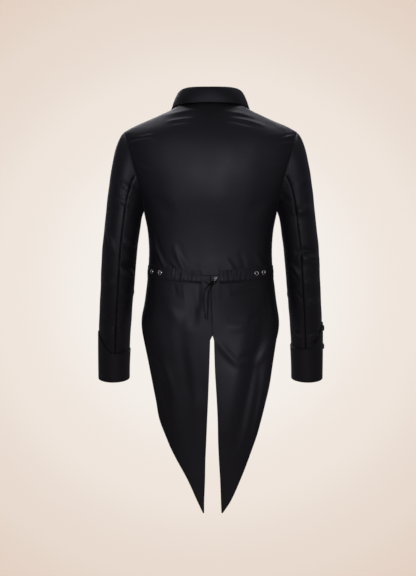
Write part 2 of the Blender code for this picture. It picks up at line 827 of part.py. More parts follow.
def collar_guides():
    """The collar's base, fold and fall edge, from the centre back to the left gorge."""
    guides = []
    neck = TORSO[-1]
    for row in COLLAR_BACK:
        rim = torso(row.turn, 3.0, False)
        outwards = Vector((rim.x / neck.half_width**2, rim.y / neck.back_y**2, 0)).normalized()
        base = rim - outwards * COLLAR_SEAT_IN + Vector((0, 0, COLLAR_SEAT_UP))
        fold = rim + outwards * row.lean + Vector((0, 0, row.stand))
        edge = rim + outwards * row.reach + Vector((0, 0, row.drop))
        guides.append((base, fold, edge, outwards))
    for row in COLLAR_FRONT:
        rim, out = torso_place(True)(roll_start(row.level), row.level)
        outwards = Vector((out.x, out.y, 0)).normalized()
        base = rim + out * COLLAR_SEAT_FRONT
        fold = rim + outwards * row.lean + Vector((0, 0, row.stand))
        seat, lift = torso_place(True)(row.edge_turn, row.edge_level)
        guides.append((base, fold, seat + lift * row.clear, outwards))
    return guides


def collar_section(base, fold, edge, outwards):
    """One section of the collar: up the stand, over the fold and down the fall."""
    down = Vector((0, 0, -1))
    room = min(FOLD_RADIUS, (fold - base).length * 0.55)
    stand_top = fold - outwards * room + down * room * 0.7
    fall_top = fold + outwards * room + down * room * 0.7
    return [
        base,
        base.lerp(stand_top, 0.5),
        stand_top,
        fold,
        fall_top,
        fall_top.lerp(edge, 0.33) + outwards * FALL_BULGE,
        fall_top.lerp(edge, 0.67) + outwards * FALL_BULGE,
        edge,
    ]


def make_collar():
    guides = collar_guides()
    whole = [tuple(mirrored(p, -1) for p in guide) for guide in reversed(guides[1:])] + guides
    sections = [collar_section(*guide) for guide in whole]
    columns = len(sections[0])
    lines = [smooth_line([section[i] for section in sections], 3) for i in range(columns)]
    rows = len(lines[0])
    outer = [[lines[column][row] for column in range(columns)] for row in range(rows)]
    inner = []
    for row in range(rows):
        inner_row = []
        for column in range(columns):
            before = lines[max(column - 1, 0)][row]
            after = lines[min(column + 1, columns - 1)][row]
            behind = lines[column][max(row - 1, 0)]
            ahead = lines[column][min(row + 1, rows - 1)]
            out = (after - before).cross(ahead - behind).normalized()
            inner_row.append(lines[column][row] + out * CLOTH)
        inner.append(inner_row)
    wall("collar", outer, inner)


def main():
    clear_scene()
    make_back()
    make_collar()
    for side, hand in ((1, "left"), (-1, "right")):
        make_front(side, "front_" + hand)
        make_lapel(side, "lapel_" + hand)
        make_sleeve(side, hand)
        make_cuff(side, hand)
        make_tail(side, hand)
        make_strip(side, hand)
    make_eyelets()
    make_tie()
    make_buttons()


main()
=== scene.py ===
"""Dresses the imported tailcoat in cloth, sewing, waist tie, eyelets and buttons, in a plain studio.

Metres. +X is the wearer's left, -Y the front, and z is 0 where the shoulder seams meet the neck.
"""

from collections import namedtuple
from math import cos, pi, radians, sin

import bpy
import numpy as np
from bpy.props import FloatProperty, FloatVectorProperty, PointerProperty
from mathutils import Matrix, Vector


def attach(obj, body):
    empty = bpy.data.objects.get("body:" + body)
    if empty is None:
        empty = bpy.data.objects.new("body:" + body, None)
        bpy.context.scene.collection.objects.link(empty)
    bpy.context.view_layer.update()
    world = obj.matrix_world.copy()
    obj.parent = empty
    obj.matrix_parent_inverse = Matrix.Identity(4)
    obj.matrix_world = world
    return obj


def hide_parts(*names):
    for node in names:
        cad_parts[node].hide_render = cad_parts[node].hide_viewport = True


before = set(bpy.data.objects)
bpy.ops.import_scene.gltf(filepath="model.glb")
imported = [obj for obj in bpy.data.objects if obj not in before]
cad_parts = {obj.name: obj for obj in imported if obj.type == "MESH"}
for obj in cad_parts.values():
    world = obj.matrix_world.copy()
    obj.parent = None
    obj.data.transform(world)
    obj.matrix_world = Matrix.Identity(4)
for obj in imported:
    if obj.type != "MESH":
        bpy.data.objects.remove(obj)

bl_info = {
    "name": "Tailcoat",
    "version": (1, 0, 0),
    "blender": (4, 5, 0),
    "location": "3D View > Sidebar > Tailcoat",
    "description": "Cloth, sewing, waist tie and studio for a hollow black tailcoat",
    "category": "Object",
}

BODY = "root"
SIDES = ((1, "left"), (-1, "right"))
MILLIMETRE = 0.001

# Cloth and the gaps between its pieces, as in the solids
CLOTH = 0.002
SEAM = 0.0003
UNDER = 0.0006
UNDER_LAPEL = 0.0014

# Heights of the bodice
WAIST_Z = -0.436
ARMPIT_Z = -0.272
WAIST_DIP = 0.055
DIP_ENDS = 0.68
SOFTEN = 0.24
SOFTEN_ENDS = 0.4
BACK_SQUARE = 2.25
FRONT_SQUARE = 2.1

# The bodice by level: 0 waist, 1 armpit, 2 shoulder tip, 3 neck
Torso = namedtuple("Torso", "level half_width back_y back_z front_y front_z")
TORSO = (
    Torso(0.00, 0.1590, 0.1045, -0.4360, -0.112, -0.436),
    Torso(0.26, 0.1563, 0.099, -0.3934, -0.110, -0.393),
    Torso(0.43, 0.1560, 0.098, -0.3655, -0.110, -0.366),
    Torso(0.72, 0.1600, 0.104, -0.3179, -0.114, -0.318),
    Torso(1.00, 0.1690, 0.112, -0.2720, -0.118, -0.272),
    Torso(1.25, 0.1755, 0.118, -0.2380, -0.119, -0.245),
    Torso(1.50, 0.1915, 0.121, -0.1850, -0.116, -0.200),
    Torso(1.75, 0.2100, 0.1155, -0.1350, -0.107, -0.155),
    Torso(2.00, 0.2197, 0.105, -0.0950, -0.097, -0.120),
    Torso(2.50, 0.1470, 0.082, -0.0430, -0.072, -0.070),
    Torso(3.00, 0.0750, 0.055, 0.0040, -0.050, -0.030),
)
NECK_LEVEL = TORSO[-1].level

# The armhole: a loop round the shoulder joint
ARMHOLE_Z = -0.1722
ARMHOLE_RISE = 0.0998
ARMHOLE_BACK = 0.060
ARMHOLE_FRONT = 0.055
Armhole = namedtuple("Armhole", "z x")
ARMHOLE = (
    Armhole(-0.2720, 0.1690),
    Armhole(-0.2360, 0.1745),
    Armhole(-0.1930, 0.1840),
    Armhole(-0.1626, 0.1930),
    Armhole(-0.1245, 0.2035),
    Armhole(-0.1040, 0.2100),
    Armhole(-0.0724, 0.2197),
)
Shoulder = namedtuple("Shoulder", "x z")
SHOULDER = (
    Shoulder(0.0750, 0.0000),
    Shoulder(0.1067, -0.0195),
    Shoulder(0.1537, -0.0406),
    Shoulder(0.2000, -0.0612),
    Shoulder(0.2197, -0.0724),
)

# The roll line, where each front turns back, and the lapel's width as a share of the front's row
RollLine = namedtuple("RollLine", "level x")
ROLL_LINE = (
    RollLine(0.0, 0.040),
    RollLine(0.6, 0.052),
    RollLine(1.2, 0.062),
    RollLine(2.0, 0.070),
    RollLine(3.0, 0.070),
)
Lapel = namedtuple("Lapel", "rise width")
LAPEL = (
    Lapel(0.00, 0.03),
    Lapel(0.25, 0.15),
    Lapel(0.50, 0.25),
    Lapel(0.75, 0.31),
    Lapel(1.00, 0.36),
)
GORGE_LEVEL = 2.488
GORGE_SLOPE = 0.06
LAPEL_ROLL = 0.004

# The tails: half rings that hang straight below the hips, cut by an inner and an outer edge
Skirt = namedtuple("Skirt", "z half_width back_y front_y")
SKIRT = (
    Skirt(-1.045, 0.150, 0.109, -0.110),
    Skirt(-0.900, 0.158, 0.115, -0.115),
    Skirt(-0.745, 0.1665, 0.1215, -0.118),
    Skirt(-0.670, 0.1705, 0.125, -0.118),
    Skirt(-0.596, 0.1745, 0.1265, -0.118),
    Skirt(-0.549, 0.1745, 0.1245, -0.117),
    Skirt(-0.498, 0.1664, 0.1165, -0.114),
    Skirt(-0.436, 0.1590, 0.1045, -0.112),
)
SWEEP_START = 118.0
VENT_Z = -0.584
Tail = namedtuple("Tail", "z outer_left inner_left outer_right inner_right")
TAIL = (
    Tail(-1.0235, 0.0188, 0.0162, 0.0304, 0.0272),
    Tail(-0.9923, 0.0336, 0.0160, 0.0511, 0.0259),
    Tail(-0.9428, 0.0561, 0.0140, 0.0734, 0.0240),
    Tail(-0.8933, 0.0834, 0.0130, 0.0934, 0.0210),
    Tail(-0.8437, 0.1083, 0.0108, 0.1107, 0.0188),
    Tail(-0.7942, 0.1282, 0.0087, 0.1257, 0.0178),
    Tail(-0.7447, 0.1382, 0.0065, 0.1382, 0.0155),
    Tail(-0.6704, 0.1531, 0.0037, 0.1531, 0.0111),
    Tail(-0.5960, 0.1681, 0.0013, 0.1655, 0.0087),
)
SEAM_DRIFT = -0.0049

# Soft folds of the tails, as in the solids
Fold = namedtuple("Fold", "side turn_top z_top turn_low z_low spread height")
FOLDS = (
    Fold(1, 70, -0.50, 38, -0.86, 0.020, -0.0050),
    Fold(1, 52, -0.50, 22, -0.90, 0.024, 0.0040),
    Fold(1, 25, -0.52, 12, -0.80, 0.020, -0.0030),
    Fold(-1, 66, -0.50, 30, -0.90, 0.020, 0.0055),
    Fold(-1, 50, -0.50, 20, -0.88, 0.018, -0.0055),
    Fold(-1, 30, -0.50, 12, -0.84, 0.022, 0.0035),
)

# The sleeve: rings down the arm. Pitch tips a ring so that its back is lower, in degrees
Arm = namedtuple("Arm", "along x y z half_width half_depth pitch")
ARM = (
    Arm(0.00, 0.2210, 0.006, -0.295, 0.0457, 0.070, 0.0),
    Arm(0.19, 0.2299, 0.008, -0.371, 0.0445, 0.066, 1.0),
    Arm(0.38, 0.2350, 0.005, -0.447, 0.0430, 0.061, 5.0),
    Arm(0.51, 0.2388, -0.002, -0.498, 0.0419, 0.057, 9.0),
    Arm(0.63, 0.2424, -0.012, -0.549, 0.0412, 0.0535, 11.5),
    Arm(0.76, 0.2448, -0.023, -0.600, 0.0396, 0.0505, 12.0),
    Arm(0.90, 0.2466, -0.035, -0.657, 0.0382, 0.0490, 12.0),
    Arm(1.00, 0.2474, -0.043, -0.697, 0.0376, 0.0480, 12.0),
)
CAP_SHARE = 0.36
CAP_LEAVES = (0.75, 0.12, -0.66)
CAP_LEAVES_UNDER = (0.25, 0.12, -0.96)
CAP_ENDS = (0.10, 0.01, -0.995)
CAP_ROUND = 0.5
CAP_TURNS_OUT = 0.06
HIND_SEAM = 97.0
FORE_SEAM = 235.0
SleeveHalf = namedtuple("SleeveHalf", "name first last steps hind fore")
SLEEVE_HALVES = (
    SleeveHalf("top_sleeve_", FORE_SEAM - 360, HIND_SEAM, (84, 0.004), "last_column", "first_column"),
    SleeveHalf("under_sleeve_", HIND_SEAM, FORE_SEAM, (56, 0.004), "first_column", "last_column"),
)
CuffCut = namedtuple("CuffCut", "top point")
CUFFS = {1: CuffCut(0.883, 0.075), -1: CuffCut(0.866, 0.095)}
BUTTONS_ALONG = (0.798, 0.874)
BUTTON_TURN = {1: -34.0, -1: -7.0}
BUTTON_RADIUS = 0.0075
BUTTON_HEIGHT = 0.0032
BUTTON_SEAT = CLOTH + 0.0008
BUTTON_SHARP = 50
STRAND_REACH = 0.27
STRAND_SEAT = 0.62
STRAND_RADIUS = 0.0005
STRAND_BELOW = 0.0006

# The collar. A back row is set by its turn round the neck seam, a front row by its level on the front
CollarBack = namedtuple("CollarBack", "turn stand lean reach drop")
COLLAR_BACK = (
    CollarBack(0.0, 0.0332, 0.0015, 0.0100, -0.0072),
    CollarBack(0.5, 0.0348, 0.0020, 0.0152, -0.0066),
    CollarBack(1.0, 0.0300, 0.0042, 0.0198, -0.0084),
)
CollarFront = namedtuple("CollarFront", "level stand lean edge_level edge_turn clear")
COLLAR_FRONT = (
    CollarFront(2.99, 0.0250, 0.0030, 2.74, 0.72, 0.0060),
    CollarFront(2.76, 0.0130, 0.0045, 2.60, 0.62, 0.0048),
    CollarFront(2.52, 0.0060, 0.0040, 2.495, 0.52, 0.0042),
)
FOLD_RADIUS = 0.004
COLLAR_SEAT_IN = 0.0012
COLLAR_SEAT_UP = 0.0008
COLLAR_SEAT_FRONT = 0.0010
FALL_BULGE = 0.0020
FALL_SHARES = (0.33, 0.67)
FOLD_ROOM = 0.55
FOLD_DROP = 0.7

# The waist strips, their gathers and what ties them
STRIP_HEIGHT = 0.031
STRIP_SIDE_Z = -0.4255
STRIP_MIDDLE_Z = -0.4430
STRIP_LEVEL_X = 0.15
STRIP_SAG = 1.3
STRIP_START_X = 0.0165
STRIP_START_TURN = 6.5
STRIP_END_TURN = 87.0
GATHER_DEPTH = 0.0024
GATHER_END_X = 0.120
GATHER_FADE = 0.6
GATHERS = 8
GATHER_SHARE = 0.6
GATHER_DRIFT = 0.035
GATHER_UNEVEN = 0.3
FINE_WAVE = 0.0019
FINE_DEPTH = 0.0007
CLOSE_WAVE = 0.0009
CLOSE_DEPTH = 0.0004
FINE_FADE = 0.4
CASING_REACH = 0.28
CASING_RISE = 0.0009
STRIP_FLARE = 0.0024
FLARE_REACH = 0.11
FLARE_ENDS = 1.2
STRIP_END_SINK = 0.0017
STRIP_SINKS_FROM = 66.0
EYELETS_X = {1: (0.1245, 0.1445), -1: (0.1130, 0.1305)}
EYELET_RADIUS = 0.0060
EYELET_HOLE = 0.0034
EYELET_HEIGHT = 0.0012
EYELET_BARREL = 0.0012
TIE_X = -0.0035
TIE_Z = -0.4565
CORD_RADIUS = 0.0014
KNOT_RADIUS = 0.0050
KNOT_WIDE = 0.26
KNOT_DEEP = 0.45
RING_RADIUS = 0.0078
RING_WIRE = 0.0013
RING_WAY = (-0.58, 0.0, 0.815)
RING_LEAN = 0.24

# The cord's routes over the back, by x and z: between the strips, then each free end below the knot
Route = namedtuple("Route", "x z")
TIE_CORD = (
    Route(0.0161, -0.4490),
    Route(0.0075, -0.4548),
    Route(-0.0035, -0.4577),
    Route(-0.0105, -0.4555),
    Route(-0.0161, -0.4500),
)
TIE_ENDS = {
    1: (
        Route(0.0125, -0.4700),
        Route(0.0166, -0.4895),
        Route(0.0158, -0.5170),
        Route(0.0128, -0.5420),
    ),
    -1: (
        Route(0.0030, -0.4760),
        Route(0.0064, -0.4930),
        Route(0.0068, -0.5190),
        Route(0.0082, -0.5460),
    ),
}
TIE_END_TURN = {1: 58.0, -1: -4.0}

# Soft creases in millimetres: a line over the cloth, its bow sideways, its half width and its height.
# A ridge has a positive height and a trough a negative one. Bodice and tails go by x and z
Crease = namedtuple("Crease", "across_1 up_1 across_2 up_2 bow spread height")
BACK_CREASES = (
    Crease(118, -38, 26, -22, 3, 5.0, 1.8),
    Crease(112, -54, 36, -45, 2, 4.0, 1.3),
    Crease(96, -66, 44, -60, 2, 3.5, 0.9),
    Crease(-34, -28, -112, -42, 3, 5.0, 1.6),
    Crease(-46, -44, -140, -66, 4, 4.5, 1.7),
    Crease(-36, -58, -104, -72, 3, 3.5, 0.9),
    Crease(-132, -44, -190, -74, 2, 5.0, 1.4),
    Crease(212, -108, 132, -98, 4, 3.5, 1.5),
    Crease(192, -92, 140, -84, -2, 3.5, 0.9),
    Crease(190, -128, 150, -131, 2, 3.5, 0.9),
    Crease(190, -162, 150, -178, 3, 5.0, 1.0),
    Crease(-178, -96, -216, -84, 2, 3.0, 1.2),
    Crease(-168, -112, -212, -104, 2, 3.5, 1.0),
    Crease(-160, -128, -204, -130, -2, 3.5, 0.9),
    Crease(-150, -160, -188, -172, 3, 5.0, 1.0),
    Crease(150, -240, 96, -300, 8, 14.0, -1.0),
    Crease(-150, -236, -92, -300, -8, 14.0, -1.0),
    Crease(146, -334, 108, -428, -5, 5.0, 2.2),
    Crease(136, -372, 117, -424, -2, 3.5, -1.2),
    Crease(92, -356, 52, -440, -5, 7.0, 2.0),
    Crease(108, -400, 80, -438, 0, 4.5, -1.2),
    Crease(-36, -392, -62, -438, 3, 6.0, 1.1),
    Crease(-70, -372, -84, -436, 4, 7.0, -1.0),
    Crease(-112, -380, -132, -436, 4, 7.0, 1.2),
    Crease(-140, -340, -150, -430, 3, 6.0, -1.1),
    Crease(30, -404, 24, -438, 1, 3.0, 0.9),
    Crease(8, -410, 2, -440, 0, 3.0, 0.7),
    Crease(-20, -408, -16, -440, 0, 3.0, 0.8),
)
TAIL_CREASES = {
    1: (
        Crease(150, -640, 100, -760, 6, 10.0, -2.2),
        Crease(122, -470, 80, -560, 4, 14.0, 1.4),
        Crease(50, -450, 42, -572, 4, 12.0, -3.0),
        Crease(136, -500, 66, -540, 0, 22.0, 2.4),
        Crease(31, -446, 27, -522, 2, 8.0, -3.0),
        Crease(70, -455, 62, -500, 1, 4.0, 0.8),
        Crease(92, -455, 84, -490, 1, 4.0, -0.8),
        Crease(26, -460, 22, -510, 0, 4.0, 0.8),
        Crease(150, -470, 158, -560, 2, 7.0, -1.0),
        Crease(60, -590, 34, -820, 5, 12.0, 1.2),
    ),
    -1: (
        Crease(14, -592, 78, -664, 4, 9.0, 2.2),
        Crease(154, -584, 104, -668, -4, 10.0, 1.9),
        Crease(70, -640, 112, -640, -5, 8.0, -1.4),
        Crease(128, -640, 86, -880, -6, 9.0, -2.4),
        Crease(150, -650, 118, -800, -4, 7.0, 1.4),
        Crease(122, -462, 52, -482, 2, 8.0, -1.4),
        Crease(134, -520, 92, -556, 2, 8.0, -1.2),
        Crease(96, -556, 40, -566, -4, 12.0, 1.4),
        Crease(28, -458, 26, -500, 0, 4.0, -0.8),
        Crease(3, -448, 2, -518, -2, 7.0, -2.6),
        Crease(44, -456, 46, -492, 1, 4.0, 0.8),
        Crease(150, -470, 160, -560, 2, 7.0, 1.0),
    ),
}
FRONT_CREASES = {
    1: (
        Crease(150, -300, 70, -430, 8, 9.0, 1.8),
        Crease(150, -350, 96, -430, 6, 8.0, -1.4),
        Crease(196, -110, 140, -150, 4, 6.0, 1.2),
        Crease(180, -160, 130, -180, -3, 6.0, -1.0),
        Crease(160, -230, 120, -260, 4, 9.0, 1.0),
    ),
    -1: (
        Crease(150, -290, 76, -420, 7, 10.0, 1.6),
        Crease(152, -360, 100, -436, 5, 8.0, -1.3),
        Crease(198, -118, 142, -146, 3, 6.0, 1.1),
        Crease(176, -168, 128, -190, -4, 6.0, -1.0),
        Crease(158, -238, 124, -262, 4, 9.0, 1.0),
    ),
}

# Sleeve creases go by turn round the arm, in degrees, and by z in millimetres
SLEEVE_CREASES = {
    1: (
        Crease(100, -346, 165, -356, 6, 9.0, 3.2),
        Crease(95, -412, 170, -422, -4, 7.0, -3.4),
        Crease(98, -434, 160, -440, -3, 6.0, 2.2),
        Crease(28, -312, 78, -386, -6, 6.0, 2.6),
        Crease(88, -508, 130, -516, 2, 4.0, -1.2),
        Crease(100, -470, 150, -482, 4, 8.0, 1.2),
        Crease(120, -560, 60, -578, -4, 6.0, 1.1),
        Crease(30, -440, 84, -470, -5, 9.0, 1.2),
        Crease(20, -540, 80, -560, -4, 8.0, -1.2),
        Crease(70, -200, 130, -232, 5, 7.0, 1.6),
        Crease(60, -236, 120, -262, 4, 7.0, -1.4),
        Crease(20, -180, 80, -214, 5, 9.0, 1.2),
        Crease(-30, -440, -110, -420, 5, 8.0, -1.8),
        Crease(-40, -470, -118, -452, -5, 8.0, 1.8),
        Crease(-30, -400, -100, -380, 5, 9.0, 1.4),
        Crease(-20, -560, -90, -540, -5, 8.0, 1.2),
        Crease(190, -440, 230, -430, 3, 8.0, -1.6),
        Crease(180, -480, 228, -466, 3, 8.0, 1.4),
    ),
    -1: (
        Crease(40, -262, 118, -276, 6, 11.0, 3.0),
        Crease(46, -376, 120, -382, -4, 8.0, -3.2),
        Crease(10, -394, 110, -404, -4, 7.0, 2.8),
        Crease(142, -404, 104, -440, 3, 4.5, 1.6),
        Crease(134, -424, 112, -452, 2, 4.0, -1.2),
        Crease(34, -498, 86, -508, -4, 6.0, 2.4),
        Crease(128, -472, 98, -502, 2, 4.5, -1.4),
        Crease(92, -596, 30, -586, 4, 4.5, 1.7),
        Crease(88, -612, 34, -604, 3, 4.5, -1.2),
        Crease(142, -578, 106, -590, 2, 4.0, 1.2),
        Crease(150, -230, 108, -250, 4, 7.0, -1.6),
        Crease(40, -444, 96, -458, 4, 9.0, 1.2),
        Crease(30, -186, 90, -208, 5, 9.0, 1.3),
        Crease(-30, -436, -112, -424, 5, 8.0, -1.8),
        Crease(-38, -468, -120, -448, -5, 8.0, 1.8),
        Crease(-26, -404, -98, -386, 5, 9.0, 1.4),
        Crease(-24, -550, -88, -538, -5, 8.0, 1.2),
        Crease(190, -448, 230, -436, 3, 8.0, -1.6),
        Crease(180, -486, 228, -472, 3, 8.0, 1.4),
    ),
}
ARC = 0.87
SLEEVE_CREASE_SHARE = 1.3

# A crease's dip on one side, as shares of its height and half width, and how its ends fade
CREASE_DIP = 0.4
CREASE_DIP_ASIDE = 1.7
CREASE_FADE = 0.8

# Slow waves in broad cloth: the seed of their draw, and their size and height in millimetres
Ripple = namedtuple("Ripple", "seed size height")
BACK_RIPPLE = Ripple(5, 60.0, 0.009)
FRONT_RIPPLE = Ripple(11, 60.0, 0.008)
SLEEVE_RIPPLE = Ripple(21, 45.0, 0.010)
TAIL_RIPPLE = Ripple(31, 70.0, 0.010)
RIPPLE_WAVES = 6
RIPPLE_RANGE = (0.7, 1.8)

# Where folds fade: beside seams, under a cuff, at the vent, towards a tail's front and at its tip
FOLD_CLEAR = 0.014
SLEEVE_FOLD_CLEAR = 0.006
CUFF_LAP = 0.005
CUFF_FADE = 0.015
CUFF_WAVE = 0.0004
VENT_FADE = 0.012
TAIL_BEHIND = 0.04
TAIL_NARROW = 0.05

# Sewing
SEAM_SINK = 0.0009
SEAM_ROLL = 0.0028
HIND_SINK = 0.0034
HIND_ROLL = 0.0017
WAIST_SINK = 0.0003
CENTRE_SINK = 0.0005
WAIST_ROLL = 0.0012
PUCKER = 0.00022
PUCKER_REACH = 0.011
PUCKER_WAVE = 0.0021
PUCKER_DRIFT = 0.013
PUCKER_SWELL = 0.037
RIM = 0.0003
ALLOWANCE = 0.009
ALLOWANCE_THICK = 0.0006
ALLOWANCE_LAP = 0.0014
ALLOWANCE_RIM = 0.0001
ARMHOLE_LAP = 0.0018
ARMHOLE_LAP_REACH = 0.004
STITCH_LENGTH = 0.0024
STITCH_SHARES = (0.0, 0.25, 0.75, 1.0)
THREAD_RADIUS = 0.00024
THREAD_RISE = 0.5

# How far inside each edge its topstitching runs
EDGE_STITCH = 0.0035
FRONT_STITCH = 0.005
COLLAR_STITCH = 0.004
TAIL_STITCH = 0.009
CUFF_STITCHES = (("first_row", 0.0030), ("first_row", 0.0095), ("last_row", 0.0060))

# How finely the cloth is drawn: steps and the share of a first and last step, across and then along
BACK_STEPS = ((150, 0.0025), (190, 0.0012))
FRONT_STEPS = ((64, 0.006), (170, 0.0012))
LAPEL_STEPS = ((36, 0.012), (110, 0.002))
STRIP_STEPS = ((220, 0.003), (18, 0.02))
CUFF_SIDES = 144
CUFF_STEPS = (26, 0.008)
TAIL_STEPS = (72, 0.004)
TAIL_SEAM_ROWS = 70
TAIL_FREE_ROWS = 190
TAIL_EDGE = 0.0006
TIP_ROWS = 6
CAP_ROWS = 60
ARM_ROWS = 130
SLEEVE_EDGE = 0.002
COLLAR_STEPS_ALONG = 16
COLLAR_STEPS_DOWN = 6
SLOPE_STEP = 0.002

# Sides and steps of the small round pieces
EYELET_SIDES = 48
RING_SIDES = 64
WIRE_SIDES = 14
BUTTON_SIDES = 40
STRAND_STEPS = 9
KNOT_STEPS = 90
TIE_STEPS = 12
TIE_END_STEPS = 10

# Real sizes of what shows in the finishes: slubs and broad tones of the cloth, the thread's twist,
# handling marks on the metal and streaks in the buttons
SLUB = 0.009
BROAD_TONE = 0.12
THREAD_TWIST = 0.0009
HANDLING_MARK = 0.0012
BUTTON_STREAK = 0.004
NOISE_SPAN = {"From Min": 0.3, "From Max": 0.7}

# The pitch of a wave node's bands at scale 1
WAVE_PITCH = 2 * pi / 10

# Camera, in front of the coat's back, and the size of the picture at the coat
CAMERA_DISTANCE = 4.0
CAMERA_X = 0.00635
CAMERA_Z = -0.4674
PICTURE_HEIGHT = 1.46304
SENSOR = 36.0

# The floor fades out from its middle to its rim
FLOOR_Z = -1.36
FLOOR_RADIUS = 0.8
FLOOR_SIDES = 96
FLOOR_FADE = 0.6
FLOOR_GLOW = 0.45

# The backdrop's tones, from its middle out to its reach
BACKDROP_REACH = 0.2165
BACKDROP_TONES = (
    (0.0, "#f7f3ef"),
    (0.33, "#f4eee9"),
    (0.58, "#efe5dc"),
    (0.82, "#e8dacf"),
    (1.0, "#e4d2c5"),
)

# Broad soft lamps, with their powers in watts
Light = namedtuple("Light", "name place aim width height power")
LIGHTS = (
    Light("key", (0.3, 4.3, 0.5), (0, 0, -0.35), 2.8, 1.6, 31.0),
    Light("high_left", (0.9, -0.8, 2.0), (0.08, 0.05, -0.1), 0.9, 0.7, 11.0),
    Light("high_right", (-0.9, -0.8, 2.0), (-0.08, 0.05, -0.1), 0.9, 0.7, 14.0),
    Light("fill_left", (2.6, 1.8, 0.2), (0, 0, -0.5), 1.0, 2.0, 1.0),
    Light("fill_right", (-2.6, 1.8, 0.2), (0, 0, -0.5), 1.0, 2.0, 3.0),
    Light("front", (0.4, -3.2, 1.2), (0, 0, -0.4), 2.4, 2.0, 60.0),
)

# Narrow lamps for the soft lights down the middle, on the shoulder blades, the flanks and both tails
Spot = namedtuple("Spot", "name place aim radius cone power")
SPOTS = (
    Spot("centre", (0.15, 4.2, 0.3), (0.0, 0.1, -0.25), 0.2, 9.0, 90.0),
    Spot("blade_left", (0.45, 4.0, 0.9), (0.115, 0.1, -0.165), 0.08, 4.4, 105.0),
    Spot("blade_right", (-0.45, 4.0, 0.9), (-0.110, 0.1, -0.160), 0.08, 4.4, 85.0),
    Spot("flank_left", (1.9, 3.5, 0.1), (0.115, 0.09, -0.340), 0.08, 4.4, 60.0),
    Spot("flank_right", (-1.9, 3.5, 0.1), (-0.110, 0.09, -0.330), 0.08, 4.4, 35.0),
    Spot("hip_left", (0.6, 4.0, 0.1), (0.095, 0.1, -0.525), 0.08, 3.4, 130.0),
    Spot("tail_right", (-0.3, 4.0, 0.0), (-0.085, 0.1, -0.660), 0.08, 4.2, 150.0),
)


def srgb(text):
    """A hex colour as linear values."""
    parts = [int(text[i:i + 2], 16) / 255 for i in (1, 3, 5)]
    return tuple(c / 12.92 if c <= 0.04045 else ((c + 0.055) / 1.055) ** 2.4 for c in parts)


def hermite(start, start_slope, end, end_slope, t):
    return (
        start * (2 * t**3 - 3 * t**2 + 1)
        + start_slope * (t**3 - 2 * t**2 + t)
        + end * (3 * t**2 - 2 * t**3)
        + end_slope * (t**3 - t**2)
    )


def beside(count):
    """For each place in a row, the one before it and the one after it, or itself at the ends."""
    here = np.arange(count)
    return np.maximum(here - 1, 0), np.minimum(here + 1, count - 1)


def smooth(rows, at, column):
    """A table's column at places between its rows, which are in the order of their first column."""
    keys = np.array([row[0] for row in rows])
    values = np.array([getattr(row, column) for row in rows])
    low, high = beside(len(keys))
    slopes = (values[high] - values[low]) / (keys[high] - keys[low])
    i = np.clip(np.searchsorted(keys, at, side="left") - 1, 0, len(keys) - 2)
    span = keys[i + 1] - keys[i]
    t = np.clip((at - keys[i]) / span, 0.0, 1.0)
    return hermite(values[i], slopes[i] * span, values[i + 1], slopes[i + 1] * span, t)


def ease(t):
    t = np.clip(t, 0.0, 1.0)
    return t * t * (3 - 2 * t)


def power(value, exponent):
    return np.sign(value) * np.abs(value) ** exponent


def stack(x, y, z):
    return np.stack(np.broadcast_arrays(x, y, z), axis=-1).astype(float)


def unit(vectors):
    return vectors / np.maximum(np.linalg.norm(vectors, axis=-1, keepdims=True), 1e-12)


def armhole(turn):
    """Points of the left armhole seam: 0 at the shoulder tip, 90 at the back, 180 under the arm."""
    angle = np.radians(turn)
    z = ARMHOLE_Z + ARMHOLE_RISE * np.cos(angle)
    depth = np.where(np.sin(angle) > 0, ARMHOLE_BACK, ARMHOLE_FRONT)
    return stack(smooth(ARMHOLE, z, "x"), depth * np.sin(angle), z)


def side_edge(level, front):
    """The outer edge of a back or a front: side seam, armhole, then shoulder seam."""
    side_z = WAIST_Z + (ARMPIT_Z - WAIST_Z) * level
    side = stack(smooth(TORSO, level, "half_width"), 0.0, side_z)
    turn = 180.0 * (2 - level)
    arm = armhole(-turn if front else turn)
    x = SHOULDER[-1].x + (SHOULDER[0].x - SHOULDER[-1].x) * (level - 2)
    shoulder = stack(x, 0.0, smooth(SHOULDER, x, "z"))
    here = level[..., None]
    return np.where(here <= 1, side, np.where(here <= 2, arm, shoulder))


def torso_row(t, level, front):
    """Points of rows across the bodice, before its turns are softened."""
    edge = side_edge(level, front)
    square = FRONT_SQUARE if front else BACK_SQUARE
    middle_y = smooth(TORSO, level, "front_y" if front else "back_y")
    middle_z = smooth(TORSO, level, "front_z" if front else "back_z")
    end = np.arccos(np.abs(edge[..., 1] / middle_y) ** (square / 2))
    turn = end * np.abs(t)
    x = edge[..., 0] * (np.sin(turn) / np.sin(end)) ** (2 / square)
    y = middle_y * np.maximum(np.cos(turn), 0.0) ** (2 / square)
    z = middle_z + (edge[..., 2] - middle_z) * ease(np.abs(t))
    if front:
        dip = np.maximum(0.0, 1 - np.abs(t) / DIP_ENDS) ** 2
        z = z - WAIST_DIP * np.maximum(1 - level, 0.0) ** 2 * dip
    return stack(np.sign(t) * x, y, z)


def torso(t, level, front):
    """The bodice's outside: t runs from the centre line (0) to the outer edge (1), either way."""
    ends = np.clip(np.minimum(level, 3 - level) / SOFTEN_ENDS, 0.0, 1.0)
    reach = SOFTEN * (1 - t**4) * ends
    beside = torso_row(t, level - reach, front) + torso_row(t, level + reach, front)
    return (torso_row(t, level, front) * 2 + beside) / 4


def roll_start(level):
    """Where the roll line crosses a front's rows."""
    edge = side_edge(level, True)
    end = np.arccos(np.abs(edge[..., 1] / smooth(TORSO, level, "front_y")) ** (FRONT_SQUARE / 2))
    share = smooth(ROLL_LINE, level, "x") / edge[..., 0]
    return np.arcsin(np.sin(end) * share ** (FRONT_SQUARE / 2)) / end


